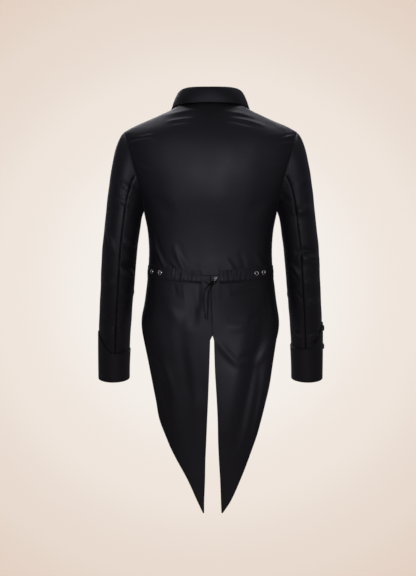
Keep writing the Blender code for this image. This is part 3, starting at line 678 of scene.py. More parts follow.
def fold_height(side, turn, z):
    """How far the tails' soft folds lift or sink the cloth."""
    height = np.zeros(np.broadcast(turn, z).shape)
    for fold in FOLDS:
        if fold.side != side:
            continue
        along = (z - fold.z_top) / (fold.z_low - fold.z_top)
        middle = fold.turn_top + (fold.turn_low - fold.turn_top) * along
        away = np.radians(turn - middle) * smooth(SKIRT, z, "half_width")
        fade = np.sin(pi * np.clip(along, 0.0, 1.0))
        height += fold.height * fade * np.exp(-((away / fold.spread) ** 2))
    return height


def skirt(turn, z, side=1):
    """The tails' outside, by the turn from the centre back in degrees."""
    angle = np.radians(turn)
    wide = smooth(SKIRT, z, "half_width")
    back_y = smooth(SKIRT, z, "back_y")
    front_y = smooth(SKIRT, z, "front_y")
    x = wide * power(np.sin(angle), 2 / BACK_SQUARE)
    behind = back_y * np.maximum(np.cos(angle), 0.0) ** (2 / BACK_SQUARE)
    before = front_y * np.maximum(-np.cos(angle), 0.0) ** (2 / FRONT_SQUARE)
    y = behind + before
    away = unit(stack(x / wide**2, y / back_y**2, 0.0))
    return stack(x, y, z) + away * fold_height(side, np.abs(turn), z)[..., None]


def turn_at(x, z):
    """The turn at which the tails' ring reaches a given x."""
    share = np.minimum(np.abs(x) / smooth(SKIRT, z, "half_width"), 1.0)
    return np.sign(x) * np.degrees(np.arcsin(share ** (BACK_SQUARE / 2)))


def tail_edges(side, z):
    """The turns of a tail's inner and outer edges at each height."""
    hand = "left" if side > 0 else "right"
    top = TAIL[-1].z
    inner_free = turn_at(smooth(TAIL, z, "inner_" + hand), z)
    outer_free = turn_at(smooth(TAIL, z, "outer_" + hand), z)
    end = turn_at(getattr(TAIL[-1], "outer_" + hand), top)
    outer = SWEEP_START + (end - SWEEP_START) * (WAIST_Z - z) / (WAIST_Z - top)
    seam_x = side * SEAM_DRIFT * np.minimum((WAIST_Z - z) / (WAIST_Z - VENT_Z), 1.0)
    open_share = np.clip((VENT_Z - z) / (VENT_Z - top), 0.0, 1.0)
    seam_x = seam_x + (getattr(TAIL[-1], "inner_" + hand) - seam_x) * open_share
    free = z < top
    return np.where(free, inner_free, turn_at(seam_x, z)), np.where(free, outer_free, outer)


def ring(turn, along):
    """Rings of the arm, from the bicep (0) to the hand (1)."""
    angle = np.radians(turn)
    deep = smooth(ARM, along, "half_depth") * np.sin(angle)
    pitch = np.radians(smooth(ARM, along, "pitch"))
    x = smooth(ARM, along, "x") + smooth(ARM, along, "half_width") * np.cos(angle)
    y = smooth(ARM, along, "y") + deep * np.cos(pitch)
    return stack(x, y, smooth(ARM, along, "z") - deep * np.sin(pitch))


def sleeve(turn, along):
    """The left sleeve's outside: 0 at the armhole seam, 1 at the hand."""
    turn, along = np.broadcast_arrays(turn, along)
    angle = np.radians(turn)
    arm = ring(turn, np.maximum(along - CAP_SHARE, 0.0) / (1 - CAP_SHARE))
    start = armhole(turn) + np.array((SEAM, 0.0, 0.0))
    end = ring(turn, np.zeros(along.shape))
    chord = np.linalg.norm(end - start, axis=-1, keepdims=True)
    under = (np.maximum(-np.cos(angle), 0.0) ** 1.5)[..., None]
    out = np.array(CAP_LEAVES) * (1 - under) + np.array(CAP_LEAVES_UNDER) * under
    out = unit(out * stack(1.0, np.sin(angle), 1.0))
    share = np.minimum(along / CAP_SHARE, 1.0)[..., None]
    cap = hermite(start, out * chord * CAP_ROUND, end, np.array(CAP_ENDS) * chord, share)
    return np.where((along >= CAP_SHARE)[..., None], arm, cap)


def outward(surface, u, v, limits, sign):
    """The way out of a surface, from its slopes along u and v inside their limits."""
    low_u, high_u, low_v, high_v = limits
    step_u = (high_u - low_u) * SLOPE_STEP
    step_v = (high_v - low_v) * SLOPE_STEP
    along_u = surface(np.minimum(u + step_u, high_u), v) - surface(np.maximum(u - step_u, low_u), v)
    along_v = surface(u, np.minimum(v + step_v, high_v)) - surface(u, np.maximum(v - step_v, low_v))
    return unit(np.cross(along_u, along_v)) * sign


def mirrored(points, side):
    return points * np.array((side, 1.0, 1.0))


def torso_place(front, side, t, level):
    sign = 1 if front else -1
    limits = (-1.0, 1.0, 0.0, 3.0)
    out = outward(lambda u, v: torso(u, v, front), t, level, limits, sign)
    return mirrored(torso(t, level, front), side), mirrored(out, side)


def sleeve_place(side, turn, along):
    out = outward(sleeve, turn, along, (-360.0, 720.0, 0.0, 1.0), -1)
    angle = np.radians(turn)
    above = np.maximum(np.cos(angle), 0.0)
    below = np.maximum(-np.cos(angle), 0.0)
    at_seam = unit(stack(-below, np.sin(angle), above))
    share = ease(along / CAP_TURNS_OUT)[..., None]
    out = unit(at_seam * (1 - share) + out * share)
    return mirrored(sleeve(turn, along), side), mirrored(out, side)


def tail_place(side, u, z):
    inner, outer = tail_edges(side, z)
    turn = inner + (outer - inner) * u
    limits = (-180.0, 180.0, TAIL[0].z, WAIST_Z)
    out = outward(lambda a, b: skirt(a, b, side), turn, z, limits, -1)
    return mirrored(skirt(turn, z, side), side), mirrored(out, side)


def body_back(x, z):
    """Points of the coat's back at heights round the waist, and the way out of it."""

    def surface(turn, height):
        level = np.maximum((height - WAIST_Z) / (ARMPIT_Z - WAIST_Z), 0.0)
        above = torso(turn / 90, level, False)
        below = skirt(turn, np.minimum(height, WAIST_Z))
        return np.where((height >= WAIST_Z)[..., None], above, below)

    x, z = np.broadcast_arrays(np.asarray(x, float), np.asarray(z, float))
    wide = surface(np.full(x.shape, 90.0), z)[..., 0]
    share = np.minimum(np.abs(x) / wide, 1.0)
    turn = np.sign(x) * np.degrees(np.arcsin(share ** (BACK_SQUARE / 2)))
    out = outward(surface, turn, z, (-90.0, 90.0, -0.6, -0.3), -1)
    return surface(turn, z), out


def crease_lift(creases, across, up, scale=1.0):
    """Soft troughs and ridges, each with a shallow dip on one side, fading at both its ends."""
    lift = np.zeros(np.broadcast(across, up).shape)
    for crease in creases:
        run_across = (crease.across_2 - crease.across_1) * scale
        run_up = crease.up_2 - crease.up_1
        length = np.hypot(run_across, run_up)
        here_across = across - crease.across_1 * scale
        here_up = up - crease.up_1
        share = np.clip((here_across * run_across + here_up * run_up) / length**2, 0.0, 1.0)
        aside = (here_across * run_up - here_up * run_across) / length
        aside = (aside - crease.bow * 4 * share * (1 - share)) / crease.spread
        profile = np.exp(-(aside**2)) - CREASE_DIP * np.exp(-((aside - CREASE_DIP_ASIDE) ** 2))
        lift += crease.height * np.sin(pi * share) ** CREASE_FADE * profile
    return lift * MILLIMETRE * bpy.context.scene.tailcoat.crease_strength


def ripples(across, up, ripple, side=0):
    """Slow waves of a few sizes that keep broad cloth from looking flat."""
    draw = np.random.default_rng(ripple.seed + side)
    height = np.zeros(np.broadcast(across, up).shape)
    for _ in range(RIPPLE_WAVES):
        wave = ripple.size * draw.uniform(*RIPPLE_RANGE)
        heading = draw.uniform(0, pi)
        start = draw.uniform(0, 2 * pi)
        along = across * cos(heading) + up * sin(heading)
        height += np.sin(2 * pi * along / wave + start) * wave
    return height / RIPPLE_WAVES * ripple.height * MILLIMETRE


def from_edge(points, edge):
    """How far each point of a grid is from one of its edges, over the cloth."""
    axis = 0 if edge.endswith("row") else 1
    steps = np.linalg.norm(np.diff(points, axis=axis), axis=-1)
    start = np.zeros_like(np.take(steps, [0], axis=axis))
    total = np.concatenate([start, np.cumsum(steps, axis=axis)], axis=axis)
    if edge.startswith("last"):
        total = np.take(total, [-1], axis=axis) - total
    return total


def along_edge(points, edge):
    """How far along an edge each point of a grid lies."""
    return from_edge(points, "first_column" if edge.endswith("row") else "first_row")


def away_from(points, edges, reach=FOLD_CLEAR):
    """0 at a piece's seams and 1 beyond a reach, so that folds leave the seams shut."""
    share = 1.0
    for edge in edges:
        share = share * ease(from_edge(points, edge) / reach)
    return share


def seam_lift(points, edges, sink=SEAM_SINK, roll=SEAM_ROLL):
    """The cloth rolls in to its seams, with small uneven puckers beside the stitches."""
    lift = 0.0
    for edge in edges:
        away = from_edge(points, edge)
        along = along_edge(points, edge)
        wave = np.sin(along / PUCKER_WAVE + 1.5 * np.sin(along / PUCKER_DRIFT))
        wave = wave * np.sin(along / PUCKER_SWELL + 0.7)
        lift = lift - sink * np.exp(-((away / roll) ** 2))
        lift = lift + PUCKER * wave * np.exp(-((away / PUCKER_REACH) ** 2))
    return lift


def borders(rows, columns, closed):
    """The border's points in order, as rows and columns, with the next point inside."""
    if closed:
        return [
            [((0, c), (1, c)) for c in range(columns)],
            [((rows - 1, c), (rows - 2, c)) for c in reversed(range(columns))],
        ]
    top = [((0, c), (1, c)) for c in range(columns - 1)]
    right = [((r, columns - 1), (r, columns - 2)) for r in range(rows - 1)]
    low = [((rows - 1, c), (rows - 2, c)) for c in range(columns - 1, 0, -1)]
    left = [((r, 0), (r, 1)) for r in range(rows - 1, 0, -1)]
    return [top + right + low + left]


def shell(points, out, thick=CLOTH, closed=False, rim=RIM):
    """A closed wall of cloth with a rounded edge, as points and faces."""
    rows, columns = points.shape[:2]
    inner = points - out * thick
    back = rows * columns
    corners = [points.reshape(-1, 3), inner.reshape(-1, 3)]
    index = np.arange(back).reshape(rows, columns)
    after = np.roll(index, -1, axis=1) if closed else index[:, 1:]
    here = index if closed else index[:, :-1]
    quads = np.stack([here[:-1], after[:-1], after[1:], here[1:]], axis=-1).reshape(-1, 4)
    faces = [quads, quads[:, ::-1] + back]
    count = 2 * back
    for border in borders(rows, columns, closed):
        edge = np.array([p for p, _ in border])
        inside = np.array([p for _, p in border])
        outer_edge = points[edge[:, 0], edge[:, 1]]
        push = unit(outer_edge - points[inside[:, 0], inside[:, 1]])
        middle = (outer_edge + inner[edge[:, 0], edge[:, 1]]) / 2 + push * rim
        corners.append(middle)
        outer_loop = index[edge[:, 0], edge[:, 1]]
        middle_loop = count + np.arange(len(border))
        count += len(border)
        for first, second in ((outer_loop, middle_loop), (middle_loop, outer_loop + back)):
            corner_loops = [np.roll(first, -1), first, second, np.roll(second, -1)]
            faces.append(np.stack(corner_loops, axis=-1))
    return np.concatenate(corners), np.concatenate(faces)


def signed_volume(points, faces):
    """Six times the volume of a closed shape of quads or triangles."""
    first = points[faces[:, 0]]
    total = 0.0
    for i in range(1, faces.shape[1] - 1):
        total += np.sum(first * np.cross(points[faces[:, i]], points[faces[:, i + 1]]))
    return total


def joined(shapes):
    """Several shapes as one list of points and faces."""
    points = []
    faces = []
    count = 0
    for shape_points, shape_faces in shapes:
        shape_faces = np.asarray(shape_faces)
        if signed_volume(shape_points, shape_faces) < 0:
            shape_faces = shape_faces[:, ::-1]
        points.append(shape_points)
        faces.extend((shape_faces + count).tolist())
        count += len(shape_points)
    return np.concatenate(points), faces


def put(name, data, place=(0.0, 0.0, 0.0)):
    """A new object in the scene."""
    thing = bpy.data.objects.new(name, data)
    thing.location = place
    bpy.context.scene.collection.objects.link(thing)
    return thing


def piece(name, shapes, material, replaces=(), sharp=None):
    """An object of one or more closed shapes that rides with the coat."""
    points, faces = joined(shapes)
    mesh = bpy.data.meshes.new(name)
    mesh.from_pydata(points.tolist(), [], faces)
    mesh.update()
    mesh.shade_smooth()
    if sharp:
        mesh.set_sharp_from_angle(angle=radians(sharp))
    return settle(put(name, mesh), material, replaces)


def settle(thing, material, replaces):
    """Gives a piece its finish, the body it rides on and the nodes that it stands for."""
    thing.data.materials.append(bpy.data.materials[material])
    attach(thing, BODY)
    if replaces:
        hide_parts(*replaces)
    return thing


def cut(points):
    """The flat cut of a panel: its widest row, its longest column and its area."""
    across = from_edge(points, "first_column")[:, -1].max()
    along = from_edge(points, "first_row")[-1, :].max()
    sides = np.cross(points[1:, :-1] - points[:-1, :-1], points[:-1, 1:] - points[:-1, :-1])
    others = np.cross(points[1:, :-1] - points[1:, 1:], points[:-1, 1:] - points[1:, 1:])
    area = (np.linalg.norm(sides, axis=-1).sum() + np.linalg.norm(others, axis=-1).sum()) / 2
    return float(across), float(along), float(area)


def closed_up(points):
    """A grid that goes all round, with its first column again at the end."""
    return np.concatenate([points, points[:, :1]], axis=1)


def panel(name, points, out, closed=False):
    """One cut panel of cloth: its shell, standing for the node of its own name. Its flat size is worked out
    but not used.
    """
    thing = piece(name + "_cloth", [shell(points, out, closed=closed)], "suiting", [name])
    across, along, area = cut(closed_up(points) if closed else points)
    area = min(area, across * along)


def places(count, margin):
    """Shares from 0 to 1, with a close first and last step for a rounded edge."""
    return np.concatenate([[0.0], np.linspace(margin, 1 - margin, count - 1), [1.0]])


def grid(steps):
    """Shares across and along a piece, at its steps each way."""
    return np.meshgrid(places(*steps[0]), places(*steps[1]))


def line_inside(points, out, edge, distance):
    """The line at a distance inside one edge of a grid, with the way out along it."""
    away = from_edge(points, edge)
    if edge.endswith("row"):
        points, out, away = points.swapaxes(0, 1), out.swapaxes(0, 1), away.T
    if edge.startswith("last"):
        points, out, away = points[:, ::-1], out[:, ::-1], away[:, ::-1]
    spots = np.empty((len(points), 3))
    ways = np.empty((len(points), 3))
    for row in range(len(points)):
        for k in range(3):
            spots[row, k] = np.interp(distance, away[row], points[row, :, k])
            ways[row, k] = np.interp(distance, away[row], out[row, :, k])
    return spots, unit(ways)


def stitches(line, out, pitch):
    """A row of raised stitches along a line, as points and faces."""
    steps = np.linalg.norm(np.diff(line, axis=0), axis=-1)
    far = np.concatenate([[0.0], np.cumsum(steps)])
    count = int(far[-1] / pitch)
    starts = (np.arange(count) + 0.5) * (far[-1] / max(count, 1)) - STITCH_LENGTH / 2
    points = []
    faces = []
    for start in starts:
        spots = []
        for share in STITCH_SHARES:
            at = start + STITCH_LENGTH * share
            spots.append([np.interp(at, far, line[:, k]) for k in range(3)])
        spots = np.array(spots)
        way = unit(np.array([np.interp(start, far, out[:, k]) for k in range(3)]))
        across = unit(np.cross(spots[-1] - spots[0], way))
        base = len(points)
        points.append(spots[0])
        for k in (1, 2):
            for turn in range(4):
                angle = pi / 4 + pi / 2 * turn
                away = across * cos(angle) + way * (sin(angle) + THREAD_RISE)
                points.append(spots[k] + THREAD_RADIUS * away)
        points.append(spots[-1])
        for turn in range(4):
            after = (turn + 1) % 4
            faces.append((base, base + 1 + after, base + 1 + turn, base + 1 + turn))
            faces.append((base + 1 + turn, base + 1 + after, base + 5 + after, base + 5 + turn))
            faces.append((base + 5 + turn, base + 5 + after, base + 9, base + 9))
    return np.array(points), faces


SEWING = {"stitches": [], "allowances": []}


def sew(points, out, edge, distance=EDGE_STITCH):
    """Notes a row of topstitching inside an edge."""
    SEWING["stitches"].append(line_inside(points, out, edge, distance))


def leave_allowance(points, out, *edges):
    """The folded-back cloth behind seams, each from a little past its edge."""
    inside = points - out * (CLOTH + ALLOWANCE_THICK / 2 + UNDER / 2)
    for edge in edges:
        near, near_out = line_inside(inside, out, edge, 0.0)
        mid, mid_out = line_inside(inside, out, edge, ALLOWANCE / 2)
        far, far_out = line_inside(inside, out, edge, ALLOWANCE)
        lap = near + unit(near - mid) * ALLOWANCE_LAP - near_out * ALLOWANCE_THICK / 2
        rows = np.stack([lap, mid, far], axis=1)
        ways = np.stack([near_out, mid_out, far_out], axis=1)
        SEWING["allowances"].append(shell(rows, ways, thick=ALLOWANCE_THICK, rim=ALLOWANCE_RIM))


def make_back():
    share, rise = grid(BACK_STEPS)
    points, out = torso_place(False, 1, share * 2 - 1, rise * NECK_LEVEL)
    across, up = points[..., 0] / MILLIMETRE, points[..., 2] / MILLIMETRE
    edges = ("first_row", "last_row", "first_column", "last_column")
    lift = crease_lift(BACK_CREASES, across, up) + ripples(across, up, BACK_RIPPLE)
    lift = lift * away_from(points, edges) + seam_lift(points, edges)
    points = points + out * lift[..., None]
    panel("back", points, out)
    leave_allowance(points, out, "first_row", "first_column", "last_column")


def make_front(side, hand):
    """A front, from its roll line to the side seam and armhole."""
    share, rise = grid(FRONT_STEPS)
    level = rise * NECK_LEVEL
    start = roll_start(level)
    points, out = torso_place(True, side, start + (1 - start) * share, level)
    across, up = np.abs(points[..., 0]) / MILLIMETRE, points[..., 2] / MILLIMETRE
    seams = ("first_row", "last_column")
    lift = crease_lift(FRONT_CREASES[side], across, up) + ripples(across, up, FRONT_RIPPLE, side)
    lift = lift * away_from(points, seams + ("last_row",)) + seam_lift(points, seams)
    points = points + out * lift[..., None]
    panel("front_" + hand, points, out)
    sew(points, out, "first_column", FRONT_STITCH)
    leave_allowance(points, out, *seams)


def make_lapel(side, hand):
    """A peaked lapel, turned back on its front along the roll line."""
    share, rise = grid(LAPEL_STEPS)
    level = rise * (GORGE_LEVEL - GORGE_SLOPE * share)
    start = roll_start(level)
    points, out = torso_place(True, side, start + share * smooth(LAPEL, rise, "width"), level)
    lift = CLOTH + UNDER_LAPEL + LAPEL_ROLL * np.sin(pi * share) * ease(rise * 4)
    points = points + out * lift[..., None]
    panel("lapel_" + hand, points, out)
    sew(points, out, "last_column")
    sew(points, out, "last_row")


def make_sleeve(side, hand):
    """Both halves of a sleeve. Their folds fade at the armhole and under the cuff."""
    cap = np.linspace(0.0, CAP_SHARE, CAP_ROWS)
    arm = np.linspace(CAP_SHARE, 1.0, ARM_ROWS)[1:]
    rows = np.concatenate([[0.0, SLEEVE_EDGE], cap[1:], arm[:-1], [1 - SLEEVE_EDGE, 1.0]])
    for half in SLEEVE_HALVES:
        turns = half.first + (half.last - half.first) * places(*half.steps)
        turn, along = np.meshgrid(turns, rows)
        points, out = sleeve_place(side, turn, along)
        tucked = ARMHOLE_LAP * np.exp(-from_edge(points, "first_row") / ARMHOLE_LAP_REACH)
        points = points - stack(side * tucked, 0.0, 0.0)
        up = points[..., 2] / MILLIMETRE
        below = away_from(points, ("first_row",))
        lift = crease_lift(SLEEVE_CREASES[side], turn * ARC, up, ARC) * SLEEVE_CREASE_SHARE
        lift = lift + ripples(turn * ARC, up, SLEEVE_RIPPLE, side)
        lift = lift * below * away_from(points, (half.hind, half.fore), SLEEVE_FOLD_CLEAR)
        groove = seam_lift(points, (half.hind,), HIND_SINK, HIND_ROLL) * below
        lift = lift + seam_lift(points, ("first_row", half.fore)) + groove
        lift = lift * (1 - ease((along - cuff_top(side, turn) + CUFF_LAP) / CUFF_FADE))
        points = points + out * lift[..., None]
        panel(half.name + hand, points, out)
        leave_allowance(points, out, "first_row", "first_column", "last_column")


def cuff_top(side, turn):
    """How far along the sleeve the cuff's top edge lies."""
    point = np.maximum(np.cos(np.radians(turn)), 0.0) ** 2
    return CUFFS[side].top - CUFFS[side].point * point


def make_cuff(side, hand):
    """A band round the end of the sleeve, its top edge rising to a point on the outer side."""
    turns = np.linspace(0.0, 360.0, CUFF_SIDES + 1)[:-1]
    turn, down = np.meshgrid(turns, places(*CUFF_STEPS))
    top = cuff_top(side, turn)
    points, out = sleeve_place(side, turn, top + (1 - top) * down)
    lift = CLOTH + UNDER + CUFF_WAVE * np.sin(np.radians(turn * 3 + 40)) * np.sin(pi * down)
    points = points + out * lift[..., None]
    panel("cuff_" + hand, points, out, closed=True)
    for edge, distance in CUFF_STITCHES:
        sew(closed_up(points), closed_up(out), edge, distance)


def make_tail(side, hand):
    """A tail. Its folds stay off the waist seam and, above the vent, off the centre seam."""
    seam_rows = np.linspace(WAIST_Z, VENT_Z, TAIL_SEAM_ROWS)
    free_rows = np.linspace(VENT_Z, TAIL[0].z, TAIL_FREE_ROWS)[1:]
    first = [WAIST_Z, WAIST_Z - TAIL_EDGE]
    last = [TAIL[0].z + TAIL_EDGE, TAIL[0].z]
    rows = np.concatenate([first, seam_rows[1:], free_rows[:-1], last])
    share, z = np.meshgrid(places(*TAIL_STEPS), rows)
    points, out = tail_place(side, share, z)
    across, up = side * points[..., 0] / MILLIMETRE, z / MILLIMETRE
    behind = ease(points[..., 1] / TAIL_BEHIND)
    narrow = ease(from_edge(points, "first_column")[:, -1:] / TAIL_NARROW)
    lift = crease_lift(TAIL_CREASES[side], across, up) * behind
    lift = lift + ripples(across, up, TAIL_RIPPLE, side)
    lift = lift * narrow * away_from(points, ("first_row",))
    lift = lift + seam_lift(points, ("first_row",), WAIST_SINK, WAIST_ROLL)
    joined_above = ease((z - VENT_Z) / VENT_FADE)
    lift = lift * (1 - joined_above * (1 - away_from(points, ("first_column",))))
    lift = lift + seam_lift(points, ("first_column",), CENTRE_SINK) * joined_above
    points = points + out * lift[..., None]
    panel("tail_" + hand, points, out)
    leave_allowance(points, out, "first_row")
    leave_allowance(points[:TAIL_SEAM_ROWS], out[:TAIL_SEAM_ROWS], "first_column")
    free = slice(TAIL_SEAM_ROWS + 2, -TIP_ROWS)
    sew(points[free], out[free], "first_column", TAIL_STITCH)
    sew(points[:-TIP_ROWS], out[:-TIP_ROWS], "last_column", TAIL_STITCH)


def strip_middle(x):
    """The height of the waist strips' middle line, which sags to the centre back."""
    share = np.minimum(np.abs(x) / STRIP_LEVEL_X, 1.0)
    return STRIP_MIDDLE_Z + (STRIP_SIDE_Z - STRIP_MIDDLE_Z) * share**STRIP_SAG


def gather(x, up):
    """Uneven waves where the cord draws a strip in, deepest by its free end."""
    share = (np.abs(x) - STRIP_START_X) / (GATHER_END_X - STRIP_START_X)
    inside = np.clip(share, 0.0, 1.0)
    drift = GATHER_DRIFT * np.sin(13 * inside + 2 * np.sign(x) + 0.8 * up)
    wave = 0.5 + 0.5 * np.cos(2 * pi * GATHERS * (inside + drift))
    uneven = 1 - GATHER_UNEVEN + GATHER_UNEVEN * np.sin(21 * inside - 3 * np.sign(x))
    height = GATHER_SHARE * GATHER_DEPTH * wave * uneven * (1 - inside) ** GATHER_FADE
    height = height * (1 - 0.5 * np.abs(2 * up - 1))
    return np.where((share >= 0) & (share <= 1), height, 0.0)


def strip_x(turn):
    """How far out a turn from the centre back lies, on the waist's own ring."""
    return TORSO[0].half_width * np.sin(np.radians(turn)) ** (2 / BACK_SQUARE)


def fine_gather(x, up):
    """Small uneven puckers between the gathers, strongest along the two rows of stitches."""
    share = np.clip((np.abs(x) - STRIP_START_X) / (GATHER_END_X - STRIP_START_X), 0.0, 1.0)
    bend = 2.2 * np.sin(x / 0.0083) + 1.4 * np.sin(up * 4 + x / 0.0061)
    wide = np.sin(x / FINE_WAVE + bend) * (0.6 + 0.4 * np.sin(x / 0.013 + 1.0))
    close = np.sin(x / CLOSE_WAVE - bend * 1.5 + up * 3) * np.abs(2 * up - 1)
    return (FINE_DEPTH * wide + CLOSE_DEPTH * close) * (1 - share) ** FINE_FADE


def make_strip(side, hand):
    """A waist strip: a casing that stands off at its low edge and is sewn in at the side seam."""
    share, up = grid(STRIP_STEPS)
    turn = STRIP_START_TURN + (STRIP_END_TURN - STRIP_START_TURN) * share
    x = strip_x(turn)
    points, out = body_back(side * x, strip_middle(x) + STRIP_HEIGHT * (up - 0.5))
    lift = CLOTH + UNDER + gather(side * x, up) + fine_gather(side * x, up)
    casing = np.exp(-(((up - 0.5) / CASING_REACH) ** 2)) * CASING_RISE
    flare = STRIP_FLARE * np.exp(-((up / FLARE_REACH) ** 2)) * ease(FLARE_ENDS - x / GATHER_END_X)
    sewn_in = STRIP_END_SINK * ease((turn - STRIP_SINKS_FROM) / (STRIP_END_TURN - STRIP_SINKS_FROM))
    points = points + out * (lift + casing + flare - sewn_in)[..., None]
    panel("belt_" + hand, points, out)
    sew(points, out, "first_row")
    sew(points, out, "last_row")


def smooth_line(points, steps):
    """Points on a smooth curve through a route's own points."""
    points = np.asarray(points, float)
    low, high = beside(len(points))
    slopes = (points[high] - points[low]) / 2
    line = []
    for i in range(len(points) - 1):
        for step in range(steps):
            line.append(hermite(points[i], slopes[i], points[i + 1], slopes[i + 1], step / steps))
    line.append(points[-1])
    return np.array(line)


def collar_guides():
    """The collar's base, fold and fall edge, from the centre back to the left gorge."""
    neck = TORSO[-1]
    guides = []
    for row in COLLAR_BACK:
        rim = torso(np.array(row.turn), np.array(NECK_LEVEL), False)
        outwards = unit(np.array((rim[0] / neck.half_width**2, rim[1] / neck.back_y**2, 0.0)))
        base = rim - outwards * COLLAR_SEAT_IN + np.array((0.0, 0.0, COLLAR_SEAT_UP))
        fold = rim + outwards * row.lean + np.array((0.0, 0.0, row.stand))
        edge = rim + outwards * row.reach + np.array((0.0, 0.0, row.drop))
        guides.append((base, fold, edge, outwards))
    for row in COLLAR_FRONT:
        level = np.array(row.level)
        rim, out = torso_place(True, 1, roll_start(level), level)
        outwards = unit(np.array((out[0], out[1], 0.0)))
        base = rim + out * COLLAR_SEAT_FRONT
        fold = rim + outwards * row.lean + np.array((0.0, 0.0, row.stand))
        seat, lift = torso_place(True, 1, np.array(row.edge_turn), np.array(row.edge_level))
        guides.append((base, fold, seat + lift * row.clear, outwards))
    return guides


def collar_section(base, fold, edge, outwards):
    """One section of the collar: up the stand, over the fold and down the fall."""
    down = np.array((0.0, 0.0, -1.0))
    room = min(FOLD_RADIUS, np.linalg.norm(fold - base) * FOLD_ROOM)
    stand_top = fold - outwards * room + down * room * FOLD_DROP
    fall_top = fold + outwards * room + down * room * FOLD_DROP
    fall = [fall_top + (edge - fall_top) * share + outwards * FALL_BULGE for share in FALL_SHARES]
    return [base, (base + stand_top) / 2, stand_top, fold, fall_top] + fall + [edge]


def make_collar():
    guides = collar_guides()
    whole = [tuple(mirrored(p, -1) for p in guide) for guide in reversed(guides[1:])] + guides
    sections = np.array([collar_section(*guide) for guide in whole])
    lines = [smooth_line(sections[:, i], COLLAR_STEPS_ALONG) for i in range(sections.shape[1])]
    points = np.array([smooth_line(row, COLLAR_STEPS_DOWN) for row in np.stack(lines, axis=1)])
    out = -unit(np.cross(np.gradient(points, axis=1), np.gradient(points, axis=0)))
    panel("collar", points, out)
    for edge in ("last_column", "first_row", "last_row"):
        sew(points, out, edge, COLLAR_STITCH)


def set_at(point, *ways):
    """A placement at a point, from the ways that its x, y and z run."""
    return Matrix.Translation(Vector(point)) @ Matrix(ways).transposed().to_4x4()


def frame_at(point, out):
    """A placement with z along the way out, its x level."""
    out = Vector(out)
    level = Vector((0, 0, 1)).cross(out).normalized()
    return set_at(point, level, out.cross(level), out)


def placed(points, placement):
    matrix = np.array(placement)
    return np.asarray(points, float) @ matrix[:3, :3].T + matrix[:3, 3]


def turned(profile, sides, placement):
    """A ring-shaped turned piece: a closed profile of radius and height, spun round its axis."""
    profile = np.asarray(profile, float)
    angle = np.linspace(0, 2 * pi, sides, endpoint=False)
    x = profile[:, 0, None] * np.cos(angle)
    y = profile[:, 0, None] * np.sin(angle)
    z = np.broadcast_to(profile[:, 1, None], x.shape)
    index = np.arange(x.size).reshape(x.shape)
    after = np.roll(index, -1, axis=1)
    above = np.roll(index, -1, axis=0)
    faces = np.stack([index, after, np.roll(above, -1, axis=1), above], axis=-1).reshape(-1, 4)
    return placed(np.stack([x, y, z], axis=-1).reshape(-1, 3), placement), faces


def round_profile(radius, wire):
    """The round section of a ring of wire."""
    angle = np.linspace(0, 2 * pi, WIRE_SIDES, endpoint=False)
    return np.stack([radius + wire * np.cos(angle), wire * np.sin(angle)], axis=-1)


def make_eyelets():
    """Pressed eyelets: a rolled flange with a barrel through the strip."""
    rolled = (
        (EYELET_HOLE, -EYELET_BARREL),
        (EYELET_HOLE, 0.0006),
        (EYELET_HOLE * 1.12, 0.0011),
        (EYELET_HOLE * 1.35, EYELET_HEIGHT * 1.1),
        (EYELET_RADIUS * 0.72, EYELET_HEIGHT * 1.15),
        (EYELET_RADIUS * 0.88, EYELET_HEIGHT),
        (EYELET_RADIUS * 0.97, EYELET_HEIGHT * 0.6),
        (EYELET_RADIUS, EYELET_HEIGHT * 0.2),
        (EYELET_RADIUS * 0.96, -0.0001),
        (EYELET_HOLE * 1.5, 0.0),
        (EYELET_HOLE * 1.2, -EYELET_BARREL),
    )
    number = 0
    for side, _ in SIDES:
        for x in EYELETS_X[side]:
            number += 1
            point, out = body_back(side * x, strip_middle(x))
            seat = frame_at(point + out * (CLOTH + 2 * UNDER), out)
            name = f"eyelet_{number}"
            piece(name + "_ring", [turned(rolled, EYELET_SIDES, seat)], "nickel", [name])


def make_cord(name, line, node, closed=False):
    """A stretch of the braided cord along a line."""
    curve = bpy.data.curves.new(name, "CURVE")
    curve.dimensions = "3D"
    curve.bevel_depth = CORD_RADIUS
    curve.bevel_resolution = 4
    curve.use_fill_caps = True
    spline = curve.splines.new("POLY")
    spline.points.add(len(line) - 1)
    for spline_point, place in zip(spline.points, line):
        spline_point.co = (*place, 1.0)
    spline.use_cyclic_u = closed
    return settle(put(name, curve), "braid", [node])


def tie_point(x, z, lift):
    """A point off the coat's back."""
    point, out = body_back(x, z)
    return point + out * lift


def laid(route):
    """A route's points, where the middle of the cord runs on the cloth."""
    return [tie_point(x, z, UNDER + CORD_RADIUS) for x, z in route]


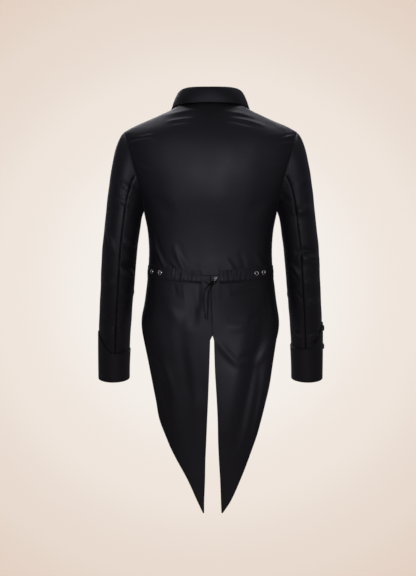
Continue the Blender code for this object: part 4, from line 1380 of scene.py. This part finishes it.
def make_tie():
    """The cord between the strips, its knot, the metal ring by it and the cord's two free ends."""
    make_cord("tie_between", smooth_line(laid(TIE_CORD), TIE_STEPS), "tie_cord")
    knot = tie_point(TIE_X, TIE_Z, 2 * CORD_RADIUS + 2 * UNDER + KNOT_RADIUS)
    turn = np.linspace(0, 2 * pi, KNOT_STEPS, endpoint=False)
    wide = (2 + np.cos(3 * turn)) * KNOT_RADIUS * KNOT_WIDE
    deep = np.sin(3 * turn) * KNOT_RADIUS * KNOT_DEEP
    loops = stack(wide * np.cos(2 * turn), deep, wide * np.sin(2 * turn))
    tied = make_cord("tie_knot_loops", loops + knot, "tie_knot", closed=True)
    for side, hand in SIDES:
        angle = radians(TIE_END_TURN[side])
        start = knot + np.array((sin(angle), 0.0, -cos(angle))) * (KNOT_RADIUS + 2 * SEAM)
        line = smooth_line([start] + laid(TIE_ENDS[side]), TIE_END_STEPS)
        end = make_cord(f"tie_end_{hand}_cord", line, f"tie_end_{hand}")
    along = Vector(RING_WAY).normalized()
    seat = Vector(knot) + along * (KNOT_RADIUS + SEAM + RING_RADIUS + RING_WIRE)
    across = (Vector((0, 1, 0)) + along.cross(Vector((0, 1, 0))) * RING_LEAN).normalized()
    placement = set_at(seat, along, across, along.cross(across))
    shape = turned(round_profile(RING_RADIUS, RING_WIRE), RING_SIDES, placement)
    piece("centre_ring", [shape], "nickel", ["eyelet_centre"])


def button_shape(placement):
    """A moulded button: a raised rim, a dished middle and its underside."""
    radius = BUTTON_RADIUS
    high = BUTTON_HEIGHT
    profile = (
        (0.0001, 0.0),
        (radius * 0.80, 0.0),
        (radius * 0.95, high * 0.25),
        (radius, high * 0.5),
        (radius * 0.96, high * 0.85),
        (radius * 0.86, high),
        (radius * 0.74, high * 0.92),
        (radius * 0.62, high * 0.66),
        (radius * 0.40, high * 0.58),
        (0.0001, high * 0.55),
    )
    return turned(profile, BUTTON_SIDES, placement)


def button_thread(placement):
    """Two crossed strands of thread through the button's four holes."""
    reach = BUTTON_RADIUS * STRAND_REACH
    share = np.linspace(-1, 1, STRAND_STEPS)
    rise = BUTTON_HEIGHT * STRAND_SEAT + STRAND_RADIUS * (1 - share**2)
    above = np.array((0.0, 0.0, STRAND_RADIUS))
    below = np.array((0.0, 0.0, STRAND_BELOW))
    shapes = []
    for heading in (pi / 4, 3 * pi / 4):
        line = stack(reach * share * cos(heading), reach * share * sin(heading), rise)
        aside = np.array((-sin(heading), cos(heading), 0.0)) * STRAND_RADIUS
        points = np.concatenate([line + aside, line + above, line - aside, line - below])
        index = np.arange(len(points)).reshape(4, STRAND_STEPS)
        after = np.roll(index, -1, axis=0)
        corners = [index[:, :-1], index[:, 1:], after[:, 1:], after[:, :-1]]
        sides = np.stack(corners, axis=-1).reshape(-1, 4)
        ends = np.array([index[::-1, 0], index[:, -1]])
        shapes.append((placed(points, placement), np.concatenate([sides, ends])))
    return shapes


def make_buttons():
    for side, hand in SIDES:
        for number, along in enumerate(BUTTONS_ALONG, 1):
            point, out = sleeve_place(side, np.array(BUTTON_TURN[side]), np.array(along))
            seat = frame_at(point + out * BUTTON_SEAT, out)
            name = f"button_{hand}_{number}"
            disc = [button_shape(seat)]
            piece(name + "_disc", disc, "horn", [name], sharp=BUTTON_SHARP)
            piece(name + "_thread", button_thread(seat), "thread")


def make_sewing():
    """Topstitching along the edges, and the allowances behind the seams."""
    pitch = bpy.context.scene.tailcoat.stitch_pitch
    rows = [stitches(line, out, pitch) for line, out in SEWING["stitches"]]
    piece("topstitching", rows, "thread")
    piece("seam_allowances", SEWING["allowances"], "suiting")


def add(tree, kind, settings=None, links=None):
    """Adds a node, sets its values and sockets, and links its inputs."""
    node = tree.nodes.new(kind)
    for key, value in (settings or {}).items():
        if isinstance(key, int) or key in node.inputs:
            node.inputs[key].default_value = value
        else:
            setattr(node, key, value)
    for key, socket in (links or {}).items():
        tree.links.new(socket, node.inputs[key])
    return node


def new_material(name, values):
    """A material with its even values set: its tree, its shader and the place on the piece."""
    material = bpy.data.materials.new(name)
    material.use_nodes = True
    tree = material.node_tree
    shader = tree.nodes["Principled BSDF"]
    for socket, value in values.items():
        shader.inputs[socket].default_value = value
    return tree, shader, add(tree, "ShaderNodeTexCoord").outputs["Object"]


def colour(values):
    return (*values, 1.0)


def make_suiting(settings):
    """Black wool and polyester satin, woven in a fine steep twill: dark, with a broad soft light.

    The twill is drawn about three times as coarse as the real one, so that it shows.
    """
    values = {
        "IOR": 1.45,
        "Specular Tint": colour(srgb("#efecf6")),
        "Sheen Weight": 0.10,
        "Sheen Roughness": 0.45,
        "Sheen Tint": colour(srgb("#8a8298")),
    }
    tree, shader, place = new_material("suiting", values)
    slub = add(tree, "ShaderNodeTexNoise", {"Scale": 1 / SLUB, "Detail": 3.0}, {"Vector": place})
    broad = add(tree, "ShaderNodeTexNoise", {"Scale": 1 / BROAD_TONE, "Detail": 2.0}, {"Vector": place})
    shades = {"data_type": "RGBA", 6: colour(settings.cloth_dark), 7: colour(settings.cloth_light)}
    tones = add(tree, "ShaderNodeMix", shades, {"Factor": slub.outputs["Fac"]})
    tree.links.new(tones.outputs[2], shader.inputs["Base Color"])
    span = {**NOISE_SPAN, "To Min": 0.50, "To Max": 0.60}
    rough = add(tree, "ShaderNodeMapRange", span, {"Value": broad.outputs["Fac"]})
    tree.links.new(rough.outputs["Result"], shader.inputs["Roughness"])
    lines = {
        "bands_direction": "DIAGONAL",
        "Scale": WAVE_PITCH / (2**0.5 * settings.twill_pitch),
        "Distortion": 0.6,
        "Detail": 1.0,
    }
    twill = add(tree, "ShaderNodeTexWave", lines, {"Vector": place})
    fine = {"Strength": 0.25, "Distance": 0.0001}
    woven = add(tree, "ShaderNodeBump", fine, {"Height": twill.outputs["Fac"]})
    uneven = add(
        tree,
        "ShaderNodeBump",
        {"Strength": 0.15, "Distance": 0.0004},
        {"Height": slub.outputs["Fac"], "Normal": woven.outputs["Normal"]},
    )
    tree.links.new(uneven.outputs["Normal"], shader.inputs["Normal"])


def make_thread(settings):
    """Black spun polyester sewing thread, twisted and slightly glossy."""
    tree, shader, place = new_material("thread", {"Roughness": 0.45})
    twist = add(tree, "ShaderNodeTexNoise", {"Scale": 1 / THREAD_TWIST, "Detail": 1.0}, {"Vector": place})
    shades = {"data_type": "RGBA", 6: colour(srgb("#0c0b0e")), 7: colour(settings.thread_colour)}
    tones = add(tree, "ShaderNodeMix", shades, {"Factor": twist.outputs["Fac"]})
    tree.links.new(tones.outputs[2], shader.inputs["Base Color"])


def make_braid(settings):
    """Black braided rayon cord: its open strands swallow most of the light and catch small glints. The gaps
    between the strands are painted near-black as painted shade.
    """
    values = {"Specular IOR Level": 0.3, "Roughness": 0.28}
    tree, shader, place = new_material("braid", values)
    strands = []
    for rows in ("DIAGONAL", "Z"):
        lines = {"bands_direction": rows, "Scale": WAVE_PITCH / settings.braid_pitch, "Distortion": 1.0}
        strands.append(add(tree, "ShaderNodeTexWave", lines, {"Vector": place}).outputs["Fac"])
    both = dict(enumerate(strands))
    strand_relief_and_gap_shade = add(tree, "ShaderNodeMath", {"operation": "MULTIPLY"}, both).outputs["Value"]
    # The near-black tone is painted shade in the gaps between the strands, which the bump also sinks
    shades = {"data_type": "RGBA", 6: colour(srgb("#030304")), 7: colour(settings.cord_colour)}
    tones = add(tree, "ShaderNodeMix", shades, {"Factor": strand_relief_and_gap_shade})
    tree.links.new(tones.outputs[2], shader.inputs["Base Color"])
    bump = add(tree, "ShaderNodeBump", {"Strength": 0.6, "Distance": 0.0003}, {"Height": strand_relief_and_gap_shade})
    tree.links.new(bump.outputs["Normal"], shader.inputs["Normal"])


def make_nickel(settings):
    """Nickel-plated pressed brass: bright, with fine handling marks."""
    values = {"Metallic": 1.0, "Base Color": colour(settings.metal_colour)}
    tree, shader, place = new_material("nickel", values)
    marks = add(tree, "ShaderNodeTexNoise", {"Scale": 1 / HANDLING_MARK, "Detail": 4.0}, {"Vector": place})
    span = {**NOISE_SPAN, "To Min": 0.14, "To Max": 0.24}
    rough = add(tree, "ShaderNodeMapRange", span, {"Value": marks.outputs["Fac"]})
    tree.links.new(rough.outputs["Result"], shader.inputs["Roughness"])


def make_horn(settings):
    """Moulded black casein that imitates horn: glossy, with faint brown streaks."""
    tree, shader, place = new_material("horn", {"IOR": 1.53})
    look = {"Scale": 1 / BUTTON_STREAK, "Detail": 3.0, "Distortion": 1.5}
    streaks = add(tree, "ShaderNodeTexNoise", look, {"Vector": place}).outputs["Fac"]
    shades = {"data_type": "RGBA", 6: colour(srgb("#08080a")), 7: colour(settings.button_colour)}
    tones = add(tree, "ShaderNodeMix", shades, {"Factor": streaks})
    tree.links.new(tones.outputs[2], shader.inputs["Base Color"])
    span = {**NOISE_SPAN, "To Min": 0.2, "To Max": 0.34}
    rough = add(tree, "ShaderNodeMapRange", span, {"Value": streaks})
    tree.links.new(rough.outputs["Result"], shader.inputs["Roughness"])


def make_floor_paint(settings):
    """Matt pale studio paint that fades out at the floor's rim, with a little glow.

    The glow makes the floor as pale as the backdrop.
    """
    values = {
        "Roughness": 0.9,
        "Emission Color": colour(settings.backdrop_edge),
        "Emission Strength": FLOOR_GLOW,
    }
    tree, shader, place = new_material("floor_paint", values)
    grain = add(tree, "ShaderNodeTexNoise", {"Scale": 4.0}, {"Vector": place})
    shades = {"data_type": "RGBA", 6: colour(settings.backdrop_edge), 7: colour(settings.backdrop_middle)}
    tones = add(tree, "ShaderNodeMix", shades, {"Factor": grain.outputs["Fac"]})
    tree.links.new(tones.outputs[2], shader.inputs["Base Color"])
    shrunk = add(tree, "ShaderNodeVectorMath", {"operation": "SCALE", "Scale": 1 / FLOOR_RADIUS}, {0: place})
    spread = {"gradient_type": "SPHERICAL"}
    middle = add(tree, "ShaderNodeTexGradient", spread, {"Vector": shrunk.outputs[0]})
    fade = {"From Max": FLOOR_FADE, "interpolation_type": "SMOOTHSTEP"}
    solid = add(tree, "ShaderNodeMapRange", fade, {0: middle.outputs["Fac"]})
    tree.links.new(solid.outputs["Result"], shader.inputs["Alpha"])


def make_materials():
    settings = bpy.context.scene.tailcoat
    for make in (make_suiting, make_thread, make_braid, make_nickel, make_horn, make_floor_paint):
        make(settings)


def make_camera():
    data = bpy.data.cameras.new("camera")
    data.sensor_fit = "AUTO"
    data.sensor_width = SENSOR
    data.lens = SENSOR * CAMERA_DISTANCE / PICTURE_HEIGHT
    camera = put("camera", data, (CAMERA_X, CAMERA_DISTANCE, CAMERA_Z))
    camera.rotation_euler = (pi / 2, 0, pi)
    bpy.context.scene.camera = camera


def hang_lamp(data, lamp, settings):
    """Hangs a lamp at its place, turned to what it lights."""
    data.energy = lamp.power * settings.light_strength
    data.color = srgb("#f9f8ff")
    thing = put(lamp.name, data, lamp.place)
    way = Vector(lamp.aim) - Vector(lamp.place)
    thing.rotation_euler = way.to_track_quat("-Z", "Y").to_euler()


def make_lights(settings):
    for light in LIGHTS:
        data = bpy.data.lights.new(light.name, "AREA")
        data.shape = "RECTANGLE"
        data.size = light.width
        data.size_y = light.height
        hang_lamp(data, light, settings)
    for spot in SPOTS:
        data = bpy.data.lights.new(spot.name, "SPOT")
        data.shadow_soft_size = spot.radius
        data.spot_size = radians(spot.cone)
        data.spot_blend = 1.0
        hang_lamp(data, spot, settings)


def make_world(settings):
    """A pale backdrop, lightest behind the coat, that lights the coat less than it shows."""
    world = bpy.data.worlds.new("studio")
    bpy.context.scene.world = world
    world.use_nodes = True
    tree = world.node_tree
    tree.nodes.clear()
    way = add(tree, "ShaderNodeTexCoord").outputs["Generated"]
    reach = {"operation": "MULTIPLY", 1: (1 / BACKDROP_REACH, 0.0, 1 / BACKDROP_REACH)}
    shrink = add(tree, "ShaderNodeVectorMath", reach, {0: way})
    far = add(tree, "ShaderNodeVectorMath", {"operation": "LENGTH"}, {0: shrink.outputs[0]})
    ramp = add(tree, "ShaderNodeValToRGB", {}, {"Fac": far.outputs["Value"]})
    tones = ramp.color_ramp
    tones.interpolation = "EASE"
    while len(tones.elements) < len(BACKDROP_TONES):
        tones.elements.new(0.5)
    for element, (position, text) in zip(tones.elements, BACKDROP_TONES):
        element.position = position
        element.color = colour(srgb(text))
    bright = {"Strength": settings.backdrop_strength}
    seen = add(tree, "ShaderNodeBackground", bright, {"Color": ramp.outputs["Color"]})
    soft = {"Color": colour(srgb("#ece6f2")), "Strength": settings.ambient}
    lit = add(tree, "ShaderNodeBackground", soft)
    ray = add(tree, "ShaderNodeLightPath").outputs["Is Camera Ray"]
    both = add(tree, "ShaderNodeMixShader", {}, {0: ray, 1: lit.outputs[0], 2: seen.outputs[0]})
    add(tree, "ShaderNodeOutputWorld", {}, {"Surface": both.outputs[0]})


def make_floor():
    angle = np.linspace(0, 2 * pi, FLOOR_SIDES, endpoint=False)
    points = [(0.0, 0.0, 0.0)] + [(FLOOR_RADIUS * cos(a), FLOOR_RADIUS * sin(a), 0.0) for a in angle]
    faces = [(0, 1 + i, 1 + (i + 1) % FLOOR_SIDES) for i in range(FLOOR_SIDES)]
    mesh = bpy.data.meshes.new("floor")
    mesh.from_pydata(points, [], faces)
    mesh.materials.append(bpy.data.materials["floor_paint"])
    put("floor", mesh, (0.0, 0.0, FLOOR_Z))


class TailcoatSettings(bpy.types.PropertyGroup):
    """Sizes and colours that change the coat's look."""

    crease_strength: FloatProperty(
        name="Crease strength",
        description="How deep the soft creases are",
        subtype="FACTOR",
        default=1.35,
        min=0.0,
        max=2.0,
    )
    twill_pitch: FloatProperty(
        name="Twill pitch",
        description="Distance between the weave's slanted lines",
        default=0.0014,
        unit="LENGTH",
    )
    braid_pitch: FloatProperty(
        name="Braid pitch",
        description="Distance between the cord's strands",
        default=0.0016,
        unit="LENGTH",
    )
    stitch_pitch: FloatProperty(
        name="Stitch pitch",
        description="Distance from one stitch to the next",
        default=0.0034,
        unit="LENGTH",
    )
    cloth_dark: FloatVectorProperty(
        name="Cloth, dark",
        description="Darker tone of the cloth",
        subtype="COLOR",
        default=srgb("#0c0b0e"),
    )
    cloth_light: FloatVectorProperty(
        name="Cloth, light",
        description="Lighter tone of the cloth",
        subtype="COLOR",
        default=srgb("#141318"),
    )
    thread_colour: FloatVectorProperty(
        name="Thread",
        description="Colour of the sewing thread",
        subtype="COLOR",
        default=srgb("#1b1a20"),
    )
    cord_colour: FloatVectorProperty(
        name="Cord",
        description="Light strands of the tie",
        subtype="COLOR",
        default=srgb("#0b0a0d"),
    )
    metal_colour: FloatVectorProperty(
        name="Metal",
        description="Nickel of the eyelets",
        subtype="COLOR",
        default=srgb("#efece7"),
    )
    button_colour: FloatVectorProperty(
        name="Button",
        description="Light streaks of the buttons",
        subtype="COLOR",
        default=srgb("#1c1816"),
    )
    backdrop_middle: FloatVectorProperty(
        name="Backdrop, middle",
        description="Backdrop behind the coat",
        subtype="COLOR",
        default=srgb("#f6f3ef"),
    )
    backdrop_edge: FloatVectorProperty(
        name="Backdrop, edge",
        description="Backdrop at the picture's edge",
        subtype="COLOR",
        default=srgb("#e9dbd1"),
    )
    light_strength: FloatProperty(
        name="Light strength",
        description="Share of the lamps' full power",
        subtype="FACTOR",
        default=1.0,
        min=0.0,
    )
    ambient: FloatProperty(
        name="Ambient light",
        description="Strength of the light from all round",
        subtype="FACTOR",
        default=0.14,
        min=0.0,
    )
    backdrop_strength: FloatProperty(
        name="Backdrop strength",
        description="Brightness of the backdrop as it is seen",
        subtype="FACTOR",
        default=1.0,
        min=0.0,
    )


class TAILCOAT_OT_stage(bpy.types.Operator):
    """Sets the camera, lights, backdrop, floor and materials"""

    bl_idname = "tailcoat.stage"
    bl_label = "Stage and materials"

    def execute(self, context):
        settings = context.scene.tailcoat
        context.scene.view_settings.view_transform = "Standard"
        make_materials()
        make_camera()
        make_world(settings)
        make_lights(settings)
        make_floor()
        return {"FINISHED"}


class TAILCOAT_OT_tie(bpy.types.Operator):
    """Makes the waist cord, its knot, ring and free ends"""

    bl_idname = "tailcoat.tie"
    bl_label = "Waist tie"

    def execute(self, context):
        make_tie()
        return {"FINISHED"}


class TAILCOAT_OT_bodice(bpy.types.Operator):
    """Makes the back, the fronts and the lapels"""

    bl_idname = "tailcoat.bodice"
    bl_label = "Bodice"

    def execute(self, context):
        make_back()
        for side, hand in SIDES:
            make_front(side, hand)
            make_lapel(side, hand)
        return {"FINISHED"}


class TAILCOAT_OT_collar(bpy.types.Operator):
    """Makes the turned-down collar"""

    bl_idname = "tailcoat.collar"
    bl_label = "Collar"

    def execute(self, context):
        make_collar()
        return {"FINISHED"}


class TAILCOAT_OT_sleeves(bpy.types.Operator):
    """Makes the two-piece sleeves, their cuffs and buttons"""

    bl_idname = "tailcoat.sleeves"
    bl_label = "Sleeves and cuffs"

    def execute(self, context):
        for side, hand in SIDES:
            make_sleeve(side, hand)
            make_cuff(side, hand)
        make_buttons()
        return {"FINISHED"}


class TAILCOAT_OT_tails(bpy.types.Operator):
    """Makes the two tails"""

    bl_idname = "tailcoat.tails"
    bl_label = "Tails"

    def execute(self, context):
        for side, hand in SIDES:
            make_tail(side, hand)
        return {"FINISHED"}


class TAILCOAT_OT_waist_strips(bpy.types.Operator):
    """Makes the gathered waist strips and their eyelets"""

    bl_idname = "tailcoat.waist_strips"
    bl_label = "Waist strips and eyelets"

    def execute(self, context):
        for side, hand in SIDES:
            make_strip(side, hand)
        make_eyelets()
        return {"FINISHED"}


class TAILCOAT_OT_sewing(bpy.types.Operator):
    """Sews the edges and seams of the pieces made so far"""

    bl_idname = "tailcoat.sewing"
    bl_label = "Sewing"

    def execute(self, context):
        make_sewing()
        return {"FINISHED"}


OPERATORS = (
    TAILCOAT_OT_stage,
    TAILCOAT_OT_tie,
    TAILCOAT_OT_bodice,
    TAILCOAT_OT_collar,
    TAILCOAT_OT_sleeves,
    TAILCOAT_OT_tails,
    TAILCOAT_OT_waist_strips,
    TAILCOAT_OT_sewing,
)


class TAILCOAT_PT_panel(bpy.types.Panel):
    """Lists the coat's steps and sizes"""

    bl_idname = "TAILCOAT_PT_panel"
    bl_label = "Tailcoat"
    bl_space_type = "VIEW_3D"
    bl_region_type = "UI"
    bl_category = "Tailcoat"

    def draw(self, context):
        for operator in OPERATORS:
            self.layout.operator(operator.bl_idname)
        for name in TailcoatSettings.__annotations__:
            self.layout.prop(context.scene.tailcoat, name)


CLASSES = (TailcoatSettings, *OPERATORS, TAILCOAT_PT_panel)


def register():
    for thing in CLASSES:
        bpy.utils.register_class(thing)
    bpy.types.Scene.tailcoat = PointerProperty(type=TailcoatSettings)


def unregister():
    del bpy.types.Scene.tailcoat
    for thing in reversed(CLASSES):
        bpy.utils.unregister_class(thing)


def main():
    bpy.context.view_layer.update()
    register()
    bpy.ops.tailcoat.stage()
    bpy.ops.tailcoat.tie()
    bpy.ops.tailcoat.bodice()
    bpy.ops.tailcoat.collar()
    bpy.ops.tailcoat.sleeves()
    bpy.ops.tailcoat.tails()
    bpy.ops.tailcoat.waist_strips()
    bpy.ops.tailcoat.sewing()


if __name__ == "__main__":
    main()
